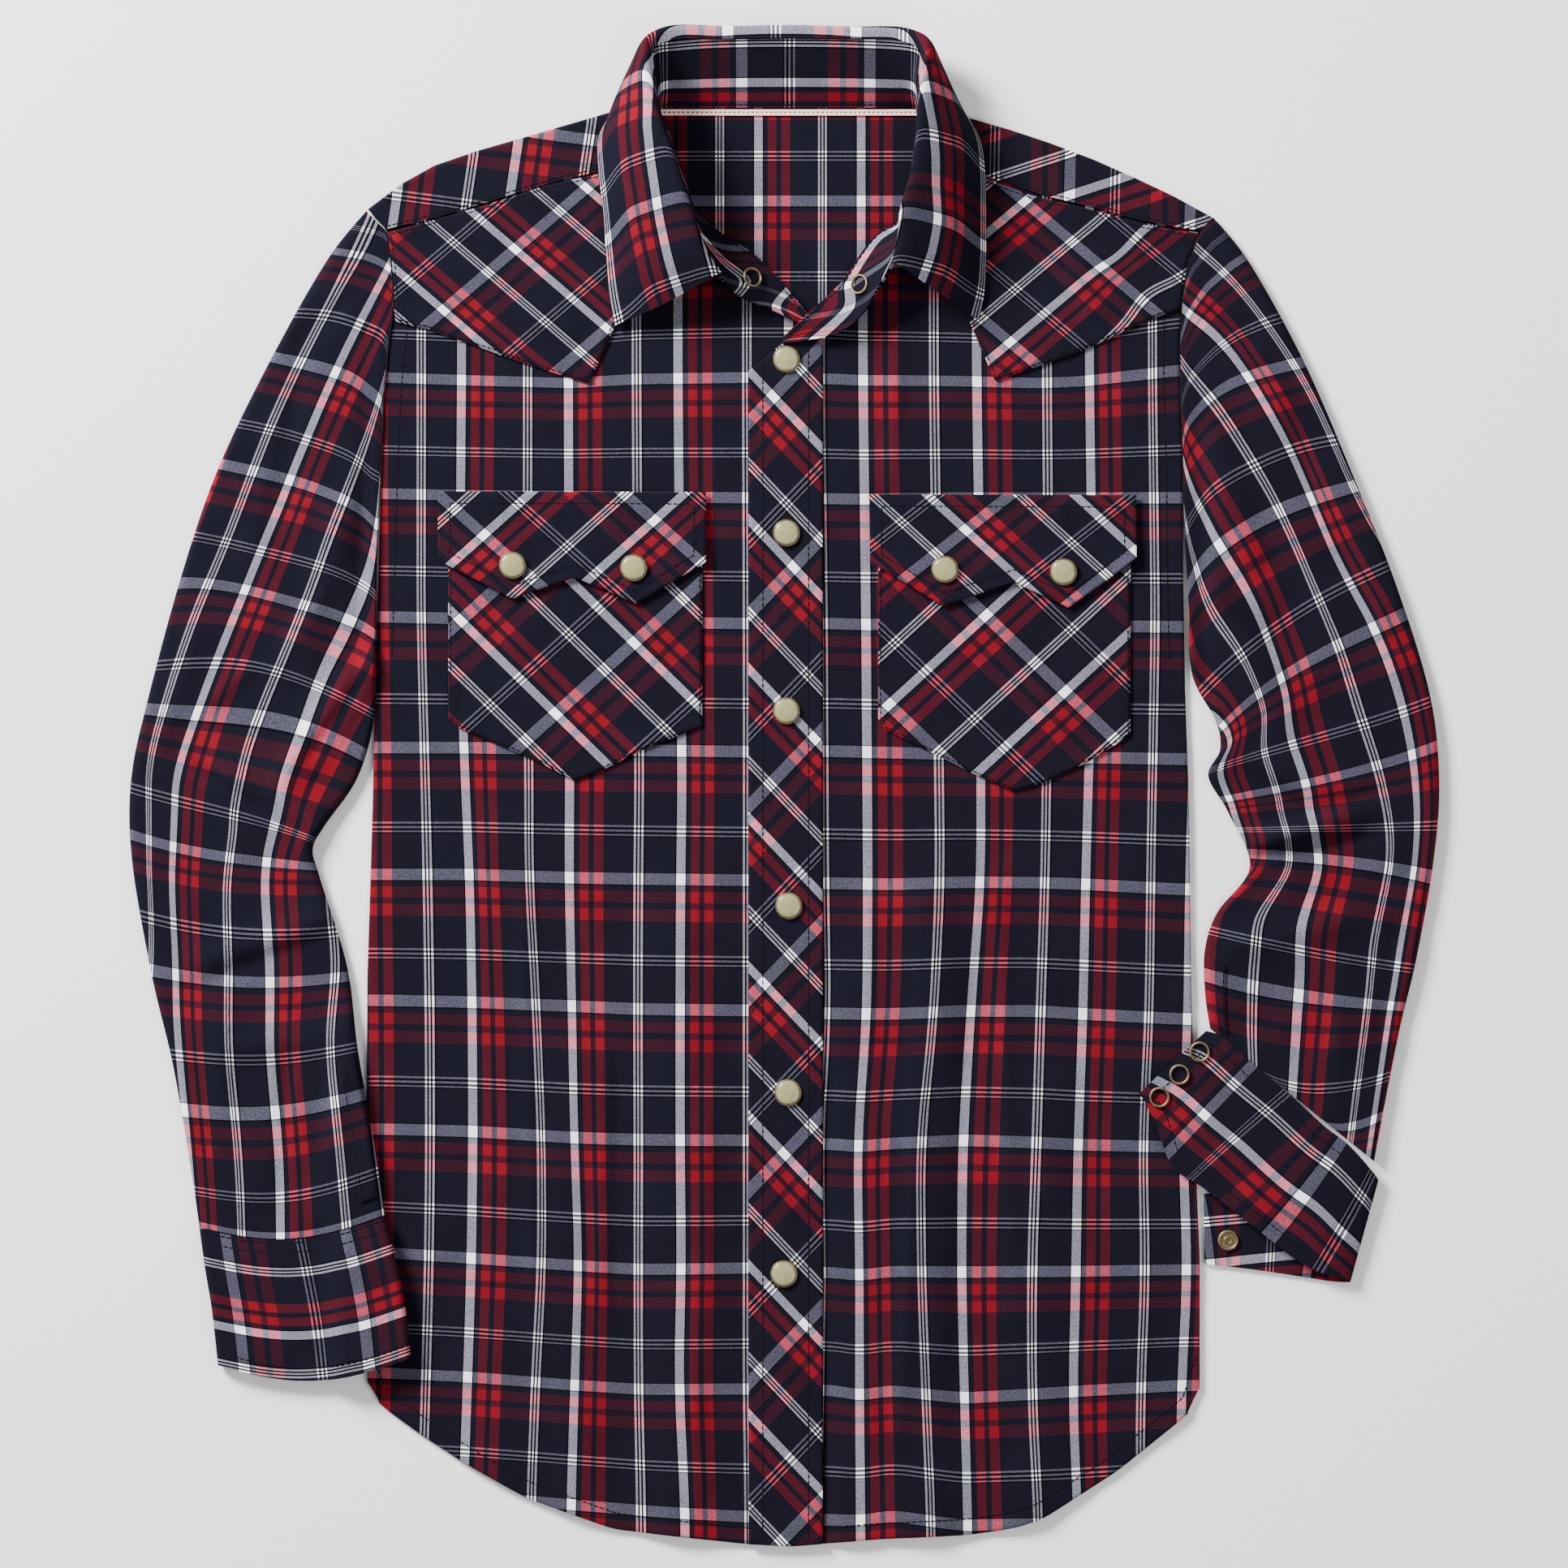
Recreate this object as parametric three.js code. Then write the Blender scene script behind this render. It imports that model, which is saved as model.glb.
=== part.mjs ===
import * as THREE from 'three';

// Western snap shirt laid flat on a surface, in millimetres, +Z up.
// The origin is on the underside of the back, at the middle of the body.
// +Y runs towards the collar and +X towards the wearer's left sleeve.

// Cloth and gaps
const CLOTH = 1.2;
const BAND_CLOTH = 1.8;
const SEAM_GAP = 0.3;
const LAYER = CLOTH + SEAM_GAP;

// Heights of the undersides of the layers
const BACK_Z = 0;
const FRONT_Z = BACK_Z + LAYER;
const ON_FRONT_Z = FRONT_Z + LAYER;
const ON_POCKET_Z = ON_FRONT_Z + LAYER;

// Placket
const PLACKET_LEFT = -18.3;
const PLACKET_RIGHT = 20;
const UNDERLAP_RIGHT = 18.5;

// Snap fasteners
const CAP_RADIUS = 6.8;
const RIM_HEIGHT = 1.1;
const PEARL_RADIUS = 6.1;
const PEARL_HEIGHT = 2.4;
const RING_RADIUS = 5.4;
const RING_WIDTH = 1.3;
const RING_HEIGHT = 1.1;
const RING_GAP = 0.5;
const SNAP_SIDES = 14;

// Cuffs and sleeves
const CUFF_LIFT = 6.4;
const SLEEVE_LIFT = 3.4;
const VENT_STRIP_FROM = 0.83;
const VENT_STRIP_TO = 0.97;
const ARMHOLE_REACH = 0.22;
const ARMHOLE_GAP = 0.5;

// Where the closed cuff and its sleeve climb on to the body
const CLIMB_X = { from: -241, to: -226 };
const CLIMB_Y = { from: -105, to: -150 };

// Grid steps of the panels
const FRONT_ROWS = 27;
const RIGHT_FRONT_COLUMNS = 17;
const LEFT_FRONT_COLUMNS = 15;
const BACK_ROWS = 9;
const FRONT_YOKE_ROWS = 6;
const POCKET_ROWS = 5;
const FLAP_ROWS = 3;
const PLACKET_ROWS = 26;
const VENT_STRIP_ROWS = 5;
const CUFF_ROWS = 4;
const TAPE_COLUMNS = 6;
const LEAF_ROWS = 6;

// Shares of the back yoke from its back seam to the shoulder fold, then on to the front seam
const YOKE_BACK_SHARES = [0, 0.3, 0.5, 0.7, 0.86, 1];
const YOKE_TURN_STEPS = 4;
const YOKE_FRONT_SHARES = [0.5, 1];

// Side seams of the body: height up the shirt and both edges
const BODY_SIDES = [
  { y: 297.4, left: -216.6, right: 224.6 },
  { y: 286.4, left: -205.6, right: 215.6 },
  { y: 268.8, left: -202.9, right: 208.7 },
  { y: 248.2, left: -201.6, right: 205.6 },
  { y: 226, left: -204.5, right: 204.5 },
  { y: 199.9, left: -206.8, right: 205 },
  { y: 162.1, left: -208.3, right: 206.2 },
  { y: 111.7, left: -209.6, right: 206.4 },
  { y: 48.7, left: -211.5, right: 207.5 },
  { y: -14.3, left: -212.9, right: 209.6 },
  { y: -98.3, left: -215.5, right: 210.6 },
  { y: -182.3, left: -216.1, right: 212.5 },
  { y: -245.3, left: -215.7, right: 215 },
  { y: -304.1, left: -215.5, right: 215 },
];

const YOKE_SEAM_Y = 286.4;

// Shirt tail hem, across the body
const HEM = [
  { x: -215.5, y: -304.1 },
  { x: -212.1, y: -318.4 },
  { x: -203.7, y: -325.1 },
  { x: -186.9, y: -337.3 },
  { x: -164.2, y: -352 },
  { x: -133.6, y: -369.2 },
  { x: -87.8, y: -385.6 },
  { x: -20.6, y: -393.1 },
  { x: 3.8, y: -394.4 },
  { x: 50, y: -390.6 },
  { x: 95.8, y: -388.5 },
  { x: 118.9, y: -385.1 },
  { x: 134, y: -380.1 },
  { x: 172.2, y: -355.7 },
  { x: 202.9, y: -331 },
  { x: 212.9, y: -322.6 },
  { x: 215, y: -304.1 },
];

// Upper edge of the wearer's right front: yoke seam, then neckline to the centre
const RIGHT_FRONT_TOP = [
  { x: -205.6, y: 286 },
  { x: -185.2, y: 291.2 },
  { x: -154.6, y: 300 },
  { x: -122.2, y: 310.5 },
  { x: -95.3, y: 316.4 },
  { x: -68.5, y: 323 },
  { x: -60.5, y: 320.9 },
  { x: -52.9, y: 311.2 },
  { x: -45.8, y: 296.1 },
  { x: -30.7, y: 283.1 },
  { x: -16.4, y: 274.3 },
  { x: -4.6, y: 262.9 },
  { x: 3.8, y: 252.8 },
  { x: 12.6, y: 243.2 },
  { x: 18.5, y: 237.7 },
];

// Upper edge of the wearer's left front: neckline from the placket, then yoke seam
const LEFT_FRONT_TOP = [
  { x: 20.3, y: 249.5 },
  { x: 31.5, y: 261.2 },
  { x: 37.4, y: 270.1 },
  { x: 48.7, y: 284.3 },
  { x: 60.5, y: 292.3 },
  { x: 63.8, y: 307 },
  { x: 68.9, y: 319.6 },
  { x: 73.5, y: 322.6 },
  { x: 104.2, y: 313.8 },
  { x: 128.5, y: 304.9 },
  { x: 153.7, y: 299.1 },
  { x: 186.1, y: 289.8 },
  { x: 215.6, y: 285.2 },
];

// Soft drape folds of the fronts: centre line, reach, height and half width
const DRAPE_FOLDS = [
  { x: 36, from: -60, to: -385, height: 2.6, width: 15, sway: 5 },
  { x: 78, from: -20, to: -380, height: 3.4, width: 18, sway: -7 },
  { x: 132, from: -120, to: -340, height: 2.2, width: 16, sway: 4 },
  { x: -58, from: -40, to: -385, height: 3.2, width: 19, sway: 5 },
  { x: -108, from: -110, to: -370, height: 2.4, width: 15, sway: -5 },
  { x: -150, from: -10, to: -330, height: 1.8, width: 17, sway: 4 },
];
const FOLD_FADE = 45;
const SIDE_FADE_FROM = 196;
const SIDE_FADE_TO = 168;
const PLACKET_FADE = 10;

// Back yoke: shoulder fold, front seam and back seam, from the wearer's right to left
const YOKE_COLUMNS = [
  { foldX: -215.4, foldY: 297.4, seamX: -205.8, seamY: 286.9, backX: -204.9, backY: 222 },
  { foldX: -198, foldY: 310.5, seamX: -191, seamY: 290.4, backX: -186, backY: 219 },
  { foldX: -181, foldY: 320, seamX: -176.8, seamY: 294, backX: -168, backY: 216 },
  { foldX: -159, foldY: 327.6, seamX: -156, seamY: 300, backX: -150, backY: 213 },
  { foldX: -136.9, foldY: 333.9, seamX: -136.9, seamY: 306.2, backX: -128, backY: 209 },
  { foldX: -114, foldY: 340.6, seamX: -115, seamY: 312.5, backX: -107, backY: 205 },
  { foldX: -92.4, foldY: 346.9, seamX: -94.1, seamY: 317.1, backX: -87, backY: 201 },
  { foldX: -68.6, foldY: 353.4, seamX: -68.6, seamY: 323.6, backX: -60, backY: 196 },
  { foldX: -40, foldY: 350.4, seamX: -40, seamY: 324, backX: -38, backY: 192 },
  { foldX: 2, foldY: 350, seamX: 2, seamY: 324, backX: 0, backY: 186 },
  { foldX: 44, foldY: 350.2, seamX: 44, seamY: 324, backX: 38, backY: 192 },
  { foldX: 72, foldY: 352.2, seamX: 72, seamY: 323, backX: 60, backY: 196 },
  { foldX: 96.2, foldY: 344.4, seamX: 100.4, seamY: 315.4, backX: 87, backY: 201 },
  { foldX: 117, foldY: 338.5, seamX: 119, seamY: 309.6, backX: 107, backY: 205 },
  { foldX: 137.3, foldY: 331.8, seamX: 136.1, seamY: 303.9, backX: 128, backY: 209 },
  { foldX: 160, foldY: 323.2, seamX: 158, seamY: 298.9, backX: 150, backY: 213 },
  { foldX: 181.4, foldY: 313.7, seamX: 180.2, seamY: 292.6, backX: 168, backY: 216 },
  { foldX: 201, foldY: 304.5, seamX: 198, seamY: 288.9, backX: 186, backY: 219 },
  { foldX: 221.3, foldY: 293.4, seamX: 215.9, seamY: 286.2, backX: 204.9, backY: 222 },
];
const NECK_FIRST_COLUMN = 7;
const NECK_LAST_COLUMN = 11;

// Front yokes: upper edge and lower edge from the armhole to the point
const FRONT_YOKE_RIGHT = [
  { topX: -205.3, topY: 286, lowX: -201, lowY: 239 },
  { topX: -185, topY: 291.2, lowX: -184, lowY: 235 },
  { topX: -154.6, topY: 300, lowX: -160, lowY: 226.6 },
  { topX: -122.2, topY: 310.5, lowX: -136, lowY: 218 },
  { topX: -95.3, topY: 316.4, lowX: -116, lowY: 211.5 },
  { topX: -68.5, topY: 323, lowX: -101.2, lowY: 207.1 },
  { topX: -54.5, topY: 310, lowX: -100, lowY: 209 },
];
const FRONT_YOKE_LEFT = [
  { topX: 65.8, topY: 310, lowX: 108.4, lowY: 210 },
  { topX: 73.5, topY: 322.6, lowX: 109.6, lowY: 208.3 },
  { topX: 104.2, topY: 313.8, lowX: 130.2, lowY: 215.5 },
  { topX: 128.5, topY: 304.9, lowX: 147.8, lowY: 221.3 },
  { topX: 153.7, topY: 299.1, lowX: 166, lowY: 229.2 },
  { topX: 186.1, topY: 289.8, lowX: 187, lowY: 239 },
  { topX: 215.3, topY: 285.2, lowX: 204.6, lowY: 245.6 },
];

// Pockets and flaps: upper and lower edge at each place across
const POCKET_RIGHT = [
  { x: -173.7, top: 150, low: 34 },
  { x: -167.6, top: 150, low: 28.8 },
  { x: -129.8, top: 150, low: 12.6 },
  { x: -108.4, top: 150, low: 1.7 },
  { x: -92, top: 150, low: 8 },
  { x: -71, top: 150, low: 18.5 },
  { x: -42.2, top: 150, low: 29.8 },
];
const POCKET_LEFT = [
  { x: 48.7, top: 149, low: 34 },
  { x: 52.1, top: 149, low: 28.1 },
  { x: 76.9, top: 149, low: 16 },
  { x: 98.3, top: 149, low: 5 },
  { x: 118.9, top: 149, low: -3.8 },
  { x: 134.8, top: 149, low: 0.8 },
  { x: 157.1, top: 149, low: 11.3 },
  { x: 179.2, top: 149, low: 25.2 },
];
const FLAP_RIGHT = [
  { x: -179, top: 152, low: 117 },
  { x: -174.7, top: 152, low: 113.4 },
  { x: -157, top: 151.9, low: 104.4 },
  { x: -140.3, top: 151.9, low: 95.8 },
  { x: -124, top: 151.8, low: 101.5 },
  { x: -108.4, top: 151.8, low: 106.7 },
  { x: -92, top: 151.7, low: 100.2 },
  { x: -76.9, top: 151.7, low: 93.2 },
  { x: -58, top: 151.6, low: 104.3 },
  { x: -40.4, top: 151.6, low: 114.7 },
];
const FLAP_LEFT = [
  { x: 44.3, top: 150.4, low: 115 },
  { x: 62, top: 150.4, low: 104.4 },
  { x: 81.9, top: 150.3, low: 92 },
  { x: 100, top: 150.2, low: 98 },
  { x: 118.9, top: 150.2, low: 104.2 },
  { x: 133, top: 150.1, low: 97.8 },
  { x: 147, top: 150.1, low: 91.1 },
  { x: 164, top: 150, low: 103.2 },
  { x: 182.2, top: 149.9, low: 116.5 },
];
const FLAP_CURL = 1.5;
const YOKE_SEAM_DROP = 0.6;

// Sleeves, armhole to cuff: both edges, height of the flat tube and bow of the line between them
const SLEEVE_RIGHT = [
  { outX: -218.6, outY: 296.5, inX: -209.6, inY: 157.1, height: 4.2, bow: 0 },
  { outX: -237.7, outY: 271.3, inX: -212.4, inY: 111.7, height: 5.4, bow: 0 },
  { outX: -265, outY: 220.9, inX: -213.8, inY: 69.7, height: 6, bow: 0 },
  { outX: -292.3, outY: 164.2, inX: -215.6, inY: 31.9, height: 6, bow: 0 },
  { outX: -311.2, outY: 109.6, inX: -221, inY: 2.5, height: 6, bow: 0 },
  { outX: -328.9, outY: 44.5, inX: -237.7, inY: -21.8, height: 6.2, bow: 0 },
  { outX: -337.7, outY: 2.5, inX: -243.6, inY: -33.6, height: 6.2, bow: 0 },
  { outX: -337.3, outY: -39.5, inX: -240.2, inY: -47.9, height: 6.2, bow: 0 },
  { outX: -327.2, outY: -98.3, inX: -226, inY: -94.1, height: 6, bow: 0 },
  { outX: -316.3, outY: -144.5, inX: -220.5, inY: -136.1, height: 6, bow: 0 },
  { outX: -307.4, outY: -194.9, inX: -212.5, inY: -182.3, height: 6, bow: 0 },
  { outX: -302.4, outY: -229.4, inX: -206.6, inY: -223.2, height: 6, bow: -2.6 },
];
const SLEEVE_LEFT = [
  { outX: 225.2, outY: 293.4, inX: 207.6, inY: 132.7, height: 4.2, bow: 0 },
  { outX: 242.8, outY: 269.6, inX: 209.6, inY: 94.9, height: 5.4, bow: 0 },
  { outX: 269.2, outY: 218.4, inX: 211, inY: 57.1, height: 6, bow: 0 },
  { outX: 295.7, outY: 156.2, inX: 223, inY: 33.2, height: 6, bow: 0 },
  { outX: 317.1, outY: 101.6, inX: 225.5, inY: 18, height: 6.4, bow: 0 },
  { outX: 333.9, outY: 47, inX: 219.4, inY: 4, height: 6.4, bow: 0 },
  { outX: 338.9, outY: 2.5, inX: 229.7, inY: -14.7, height: 6.4, bow: 0 },
  { outX: 336, outY: -39.5, inX: 240.9, inY: -42.8, height: 6.2, bow: 0 },
  { outX: 327.2, outY: -89.9, inX: 224, inY: -66.4, height: 6, bow: 0 },
  { outX: 318.8, outY: -125.2, inX: 217.6, inY: -86, height: 6, bow: 0 },
  { outX: 310.8, outY: -165.1, inX: 217.8, inY: -108.8, height: 6, bow: 0 },
  { outX: 305.2, outY: -195.2, inX: 220.4, inY: -126.6, height: 6, bow: 0 },
];

// Largest folds of the sleeves: a ridge between two points
const RIGHT_SLEEVE_FOLDS = [
  { x1: -214, y1: 62, x2: -262, y2: -2, height: 4, width: 9 },
  { x1: -240, y1: -30, x2: -300, y2: 12, height: 3.4, width: 10 },
  { x1: -234, y1: -70, x2: -300, y2: -92, height: 3, width: 9 },
  { x1: -226, y1: 148, x2: -248, y2: 62, height: 2.4, width: 9 },
  { x1: -232, y1: -130, x2: -296, y2: -138, height: 2.2, width: 8 },
];
const LEFT_SLEEVE_FOLDS = [
  { x1: 246, y1: -30, x2: 298, y2: -16, height: 7, width: 9 },
  { x1: 226, y1: 20, x2: 282, y2: -6, height: 4, width: 10 },
  { x1: 218, y1: 108, x2: 262, y2: 30, height: 3.2, width: 9 },
  { x1: 224, y1: 170, x2: 248, y2: 92, height: 2.4, width: 9 },
  { x1: 232, y1: -84, x2: 300, y2: -70, height: 2.6, width: 9 },
];

// Round the flattened tube: share of the way across from the outer edge, and share of the height
const TUBE_SECTION = [
  { across: 0.02, up: 0.06 },
  { across: 0.16, up: 0 },
  { across: 0.34, up: 0 },
  { across: 0.5, up: 0 },
  { across: 0.62, up: 0 },
  { across: 0.73, up: 0 },
  { across: 0.83, up: 0 },
  { across: 0.91, up: 0 },
  { across: 0.98, up: 0.06 },
  { across: 1, up: 0.5 },
  { across: 0.97, up: 0.92 },
  { across: 0.84, up: 1 },
  { across: 0.68, up: 1 },
  { across: 0.52, up: 1 },
  { across: 0.36, up: 1 },
  { across: 0.2, up: 1 },
  { across: 0.04, up: 0.92 },
  { across: 0, up: 0.5 },
];

// Closed cuff, from the sleeve to its free edge
const CUFF_RIGHT = [
  { outX: -302.4, outY: -229.7, inX: -206.6, inY: -223.5, height: 6, bow: -2.6 },
  { outX: -299.6, outY: -250, inX: -200.2, inY: -246, height: 6.8, bow: -3 },
  { outX: -296, outY: -272, inX: -197.2, inY: -268, height: 6.8, bow: -3 },
  { outX: -292.8, outY: -301.6, inX: -193.8, inY: -297.4, height: 6.6, bow: -4 },
];

// Open cuff, along the band: its sleeve edge and its free edge, from the lapped end round the fold
const CUFF_LEFT = [
  { topX: 218.2, topY: -127.6, topZ: 6.4, lowX: 183.8, lowY: -159.8, lowZ: 4.6 },
  { topX: 227, topY: -131, topZ: 7.4, lowX: 191.6, lowY: -174.3, lowZ: 4.6 },
  { topX: 242.4, topY: -144.6, topZ: 7.8, lowX: 200.8, lowY: -197.5, lowZ: 4.8 },
  { topX: 263, topY: -161.8, topZ: 7.8, lowX: 217, lowY: -209, lowZ: 6 },
  { topX: 279, topY: -176.6, topZ: 7.6, lowX: 243, lowY: -229, lowZ: 6.6 },
  { topX: 291, topY: -185.8, topZ: 7.2, lowX: 262, lowY: -244, lowZ: 6.8 },
  { topX: 301, topY: -196.5, topZ: 6.4, lowX: 277, lowY: -252.4, lowZ: 6.4 },
  { topX: 306.6, topY: -205, topZ: 3.9, lowX: 292, lowY: -257, lowZ: 3.9 },
  { topX: 299, topY: -207, topZ: 0.9, lowX: 284, lowY: -257.4, lowZ: 0.9 },
  { topX: 272, topY: -208, topZ: 0.9, lowX: 262, lowY: -254, lowZ: 0.9 },
  { topX: 244, topY: -210, topZ: 0.9, lowX: 238, lowY: -250.6, lowZ: 0.9 },
  { topX: 217, topY: -212, topZ: 0.9, lowX: 217.6, lowY: -248.4, lowZ: 0.9 },
];

// Collar stations from the front end round to the middle of the back.
// seam is the edge on the neckline, top the edge under the leaf.
// fold is where the leaf turns over, belly and edge are on its outer face.
const COLLAR_RIGHT = [
  { seam: [12.6, 243.2, 3.9], top: [7.1, 238.6, 3.9] },
  { seam: [-4.6, 262.9, 3.9], top: [-8.8, 246.1, 7] },
  { seam: [-16.4, 274.3, 3.9], top: [-22.7, 252, 15] },
  {
    seam: [-30.7, 283.1, 3.9], top: [-34, 262.5, 19.4],
    fold: [-33.2, 263.4, 24], belly: [-62, 248, 16], edge: [-87.4, 236.9, 5.6],
  },
  {
    seam: [-45.8, 296.1, 3.9], top: [-42, 275.1, 23],
    fold: [-41, 276, 27.6], belly: [-69, 262, 20], edge: [-90, 252.8, 5.8],
  },
  {
    seam: [-51.7, 311.2, 3.9], top: [-48.7, 295.7, 27],
    fold: [-48.4, 297, 31], belly: [-75, 284, 23], edge: [-91.6, 274.3, 6],
  },
  {
    seam: [-57.1, 326, 3.7], top: [-53.4, 311.3, 29],
    fold: [-54, 313, 33], belly: [-79, 304, 25], edge: [-93, 296.1, 6.2],
  },
  {
    seam: [-61, 338.6, 3.4], top: [-58, 328, 30],
    fold: [-60, 330, 34], belly: [-82, 324, 25], edge: [-95.4, 317, 6.2],
  },
  {
    seam: [-65.4, 345.4, 2.8], top: [-63.4, 343.6, 30],
    fold: [-66, 344.6, 33.6], belly: [-86, 342, 22], edge: [-95.2, 334, 6.2],
  },
  {
    seam: [-64.4, 349.6, 2.6], top: [-67, 364.6, 27],
    fold: [-70.6, 366, 30], belly: [-83.4, 360, 17], edge: [-89, 345, 6],
  },
  {
    seam: [-57, 350.6, 2.4], top: [-66.8, 379.6, 22],
    fold: [-71.4, 383, 25], belly: [-77, 372, 12], edge: [-77, 357, 6],
  },
  {
    seam: [-46, 350.2, 2.4], top: [-57, 383.8, 18.6],
    fold: [-60.6, 390, 19.6], belly: [-65, 378, 8], edge: [-62, 356.6, 1.8],
  },
  {
    seam: [-26, 350.2, 2.4], top: [-30, 384.4, 17],
    fold: [-30, 390.4, 16.4], belly: [-30, 374, 5.4], edge: [-30, 353, 0.9],
  },
  {
    seam: [2, 350.2, 2.4], top: [2, 384.8, 16.6],
    fold: [2, 391, 16], belly: [2, 374, 5], edge: [2, 353, 0.9],
  },
];
const COLLAR_LEFT = [
  { seam: [-0.4, 231, 6.1], top: [-0.8, 228, 6.1] },
  { seam: [9.7, 241.1, 6.1], top: [14.3, 229.7, 6.6] },
  { seam: [21.4, 251.2, 6], top: [29.8, 233.9, 9] },
  { seam: [31.5, 261.2, 5.4], top: [41.6, 244, 14] },
  { seam: [37.4, 270.1, 4.8], top: [48.7, 255.8, 19] },
  {
    seam: [48.7, 284.3, 4.2], top: [56.3, 268.8, 22.6],
    fold: [56.7, 269, 27], belly: [79, 254, 18], edge: [100.6, 240, 5.6],
  },
  {
    seam: [59.6, 290, 3.9], top: [59.4, 281.4, 25],
    fold: [59.6, 282, 29.4], belly: [83, 270, 21], edge: [103.2, 253, 5.8],
  },
  {
    seam: [62.4, 302.8, 3.9], top: [60.4, 295.3, 28],
    fold: [61, 296.4, 32], belly: [86, 287, 24], edge: [104, 270, 6],
  },
  {
    seam: [66, 315.4, 3.9], top: [65, 310, 30],
    fold: [65.6, 312, 34], belly: [88, 306, 25], edge: [104, 294.4, 6.2],
  },
  {
    seam: [68.2, 330.1, 3.7], top: [67.6, 326, 30],
    fold: [68.6, 328, 34], belly: [90, 324, 25], edge: [103.4, 315.4, 6.2],
  },
  {
    seam: [69.6, 342, 3], top: [69, 343, 30],
    fold: [70, 344.6, 33.6], belly: [90, 341, 22], edge: [101, 332, 6.2],
  },
  {
    seam: [68.6, 349.6, 2.6], top: [69.8, 363.8, 27],
    fold: [72.2, 366, 30], belly: [85, 360, 17], edge: [92.4, 346.4, 6],
  },
  {
    seam: [62, 350.6, 2.4], top: [69.4, 378.8, 22],
    fold: [74, 382.6, 25], belly: [80, 372, 12], edge: [82, 357, 6],
  },
  {
    seam: [52, 350.2, 2.4], top: [60, 383.4, 18.6],
    fold: [64, 389, 19.6], belly: [69, 378, 8], edge: [67, 356.6, 1.8],
  },
  {
    seam: [30, 350.2, 2.4], top: [34, 384.4, 17],
    fold: [34, 390.2, 16.4], belly: [34, 374, 5.4], edge: [34, 353, 0.9],
  },
];

const NECK_TAPE = { left: -62, right: 66, low: 345.9, high: 349, z: 1.5, thickness: 0.7 };

// Top edge of the placket
const PLACKET_TOP = [
  { x: PLACKET_LEFT, y: 213.8 },
  { x: -0.8, y: 228 },
  { x: PLACKET_RIGHT, y: 241 },
];

// Section of the strip that binds a cuff vent, on the tube of the sleeve
const VENT_SECTION = [
  { across: 0.985, up: 0.75 },
  { across: 0.97, up: 0.92 },
  { across: 0.93, up: 0.97 },
  { across: 0.89, up: 1 },
];

// Rings of the open cuff: share along its table and share across the band
const CUFF_RINGS = [
  { along: 0.06, across: 0.24 },
  { along: 0.06, across: 0.54 },
  { along: 0.06, across: 0.84 },
];
const CUFF_STUD = { x: 229.7, y: -236 };

// Rings of the collar stand: station before the ring, share to the next, share across
const STAND_RING_RIGHT = { station: 1, along: 0.8, across: 0.5 };
const STAND_RING_LEFT = { station: 3, along: 0.5, across: 0.5 };

// Snap caps that show: middle of each
const PLACKET_SNAPS = [
  { x: 1.3, y: 219.6 },
  { x: 1.3, y: 129.8 },
  { x: 1.3, y: 37.8 },
  { x: 2.5, y: -63 },
  { x: 2.1, y: -159.6 },
  { x: 0, y: -253.3 },
];
const FLAP_SNAPS = [
  { name: 'flap_snap_right_1', x: -140.3, y: 113 },
  { name: 'flap_snap_right_2', x: -77.7, y: 111.7 },
  { name: 'flap_snap_left_1', x: 83.2, y: 110.9 },
  { name: 'flap_snap_left_2', x: 144.5, y: 109.6 },
];
const HIDDEN_CUFF_SNAPS = [
  { x: -206.4, y: -243 },
  { x: -204.6, y: -262 },
  { x: -202.8, y: -281 },
];

const COLOURS = {
  cloth: 0x26262f,
  redCloth: 0x7a1f26,
  paleCloth: 0x8d8f9c,
  tape: 0xe8ddc8,
  pearl: 0xc9c3a4,
  brass: 0x8a7142,
};

const shirt = new THREE.Group();
shirt.name = 'western_snap_shirt';

function mix(a, b, t) {
  return a + (b - a) * t;
}

function smoothStep(from, to, value) {
  const t = Math.min(1, Math.max(0, (value - from) / (to - from)));
  return t * t * (3 - 2 * t);
}

// Reads one named column of a table at a value of another column
function readTable(rows, key, value, column) {
  const rising = rows[rows.length - 1][key] > rows[0][key];
  for (let i = 1; i < rows.length; i += 1) {
    const a = rows[i - 1];
    const b = rows[i];
    if (i === rows.length - 1 || (rising ? value <= b[key] : value >= b[key])) {
      const t = Math.min(1, Math.max(0, (value - a[key]) / (b[key] - a[key])));
      return mix(a[column], b[column], t);
    }
  }
  return rows[0][column];
}

// A smooth curve through the rows of a table, for every named column at once
function smoothRow(rows, t) {
  const place = Math.min(rows.length - 1, Math.max(0, t * (rows.length - 1)));
  const i = Math.min(rows.length - 2, Math.floor(place));
  const f = place - i;
  const before = rows[Math.max(0, i - 1)];
  const after = rows[Math.min(rows.length - 1, i + 2)];
  const result = {};
  for (const key of Object.keys(rows[i])) {
    const a = rows[i][key];
    const b = rows[i + 1][key];
    const slopeA = (b - before[key]) / 2;
    const slopeB = (after[key] - a) / 2;
    const f2 = f * f;
    const f3 = f2 * f;
    result[key] = (2 * f3 - 3 * f2 + 1) * a + (f3 - 2 * f2 + f) * slopeA
      + (-2 * f3 + 3 * f2) * b + (f3 - f2) * slopeB;
  }
  return result;
}

// Spreads whole steps between rows, so that each row of a table keeps its own place
function stepsThrough(rows, perRow) {
  const places = [];
  const last = (rows.length - 1) * perRow;
  for (let i = 0; i <= last; i += 1) {
    places.push(i / last);
  }
  return places;
}

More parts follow.
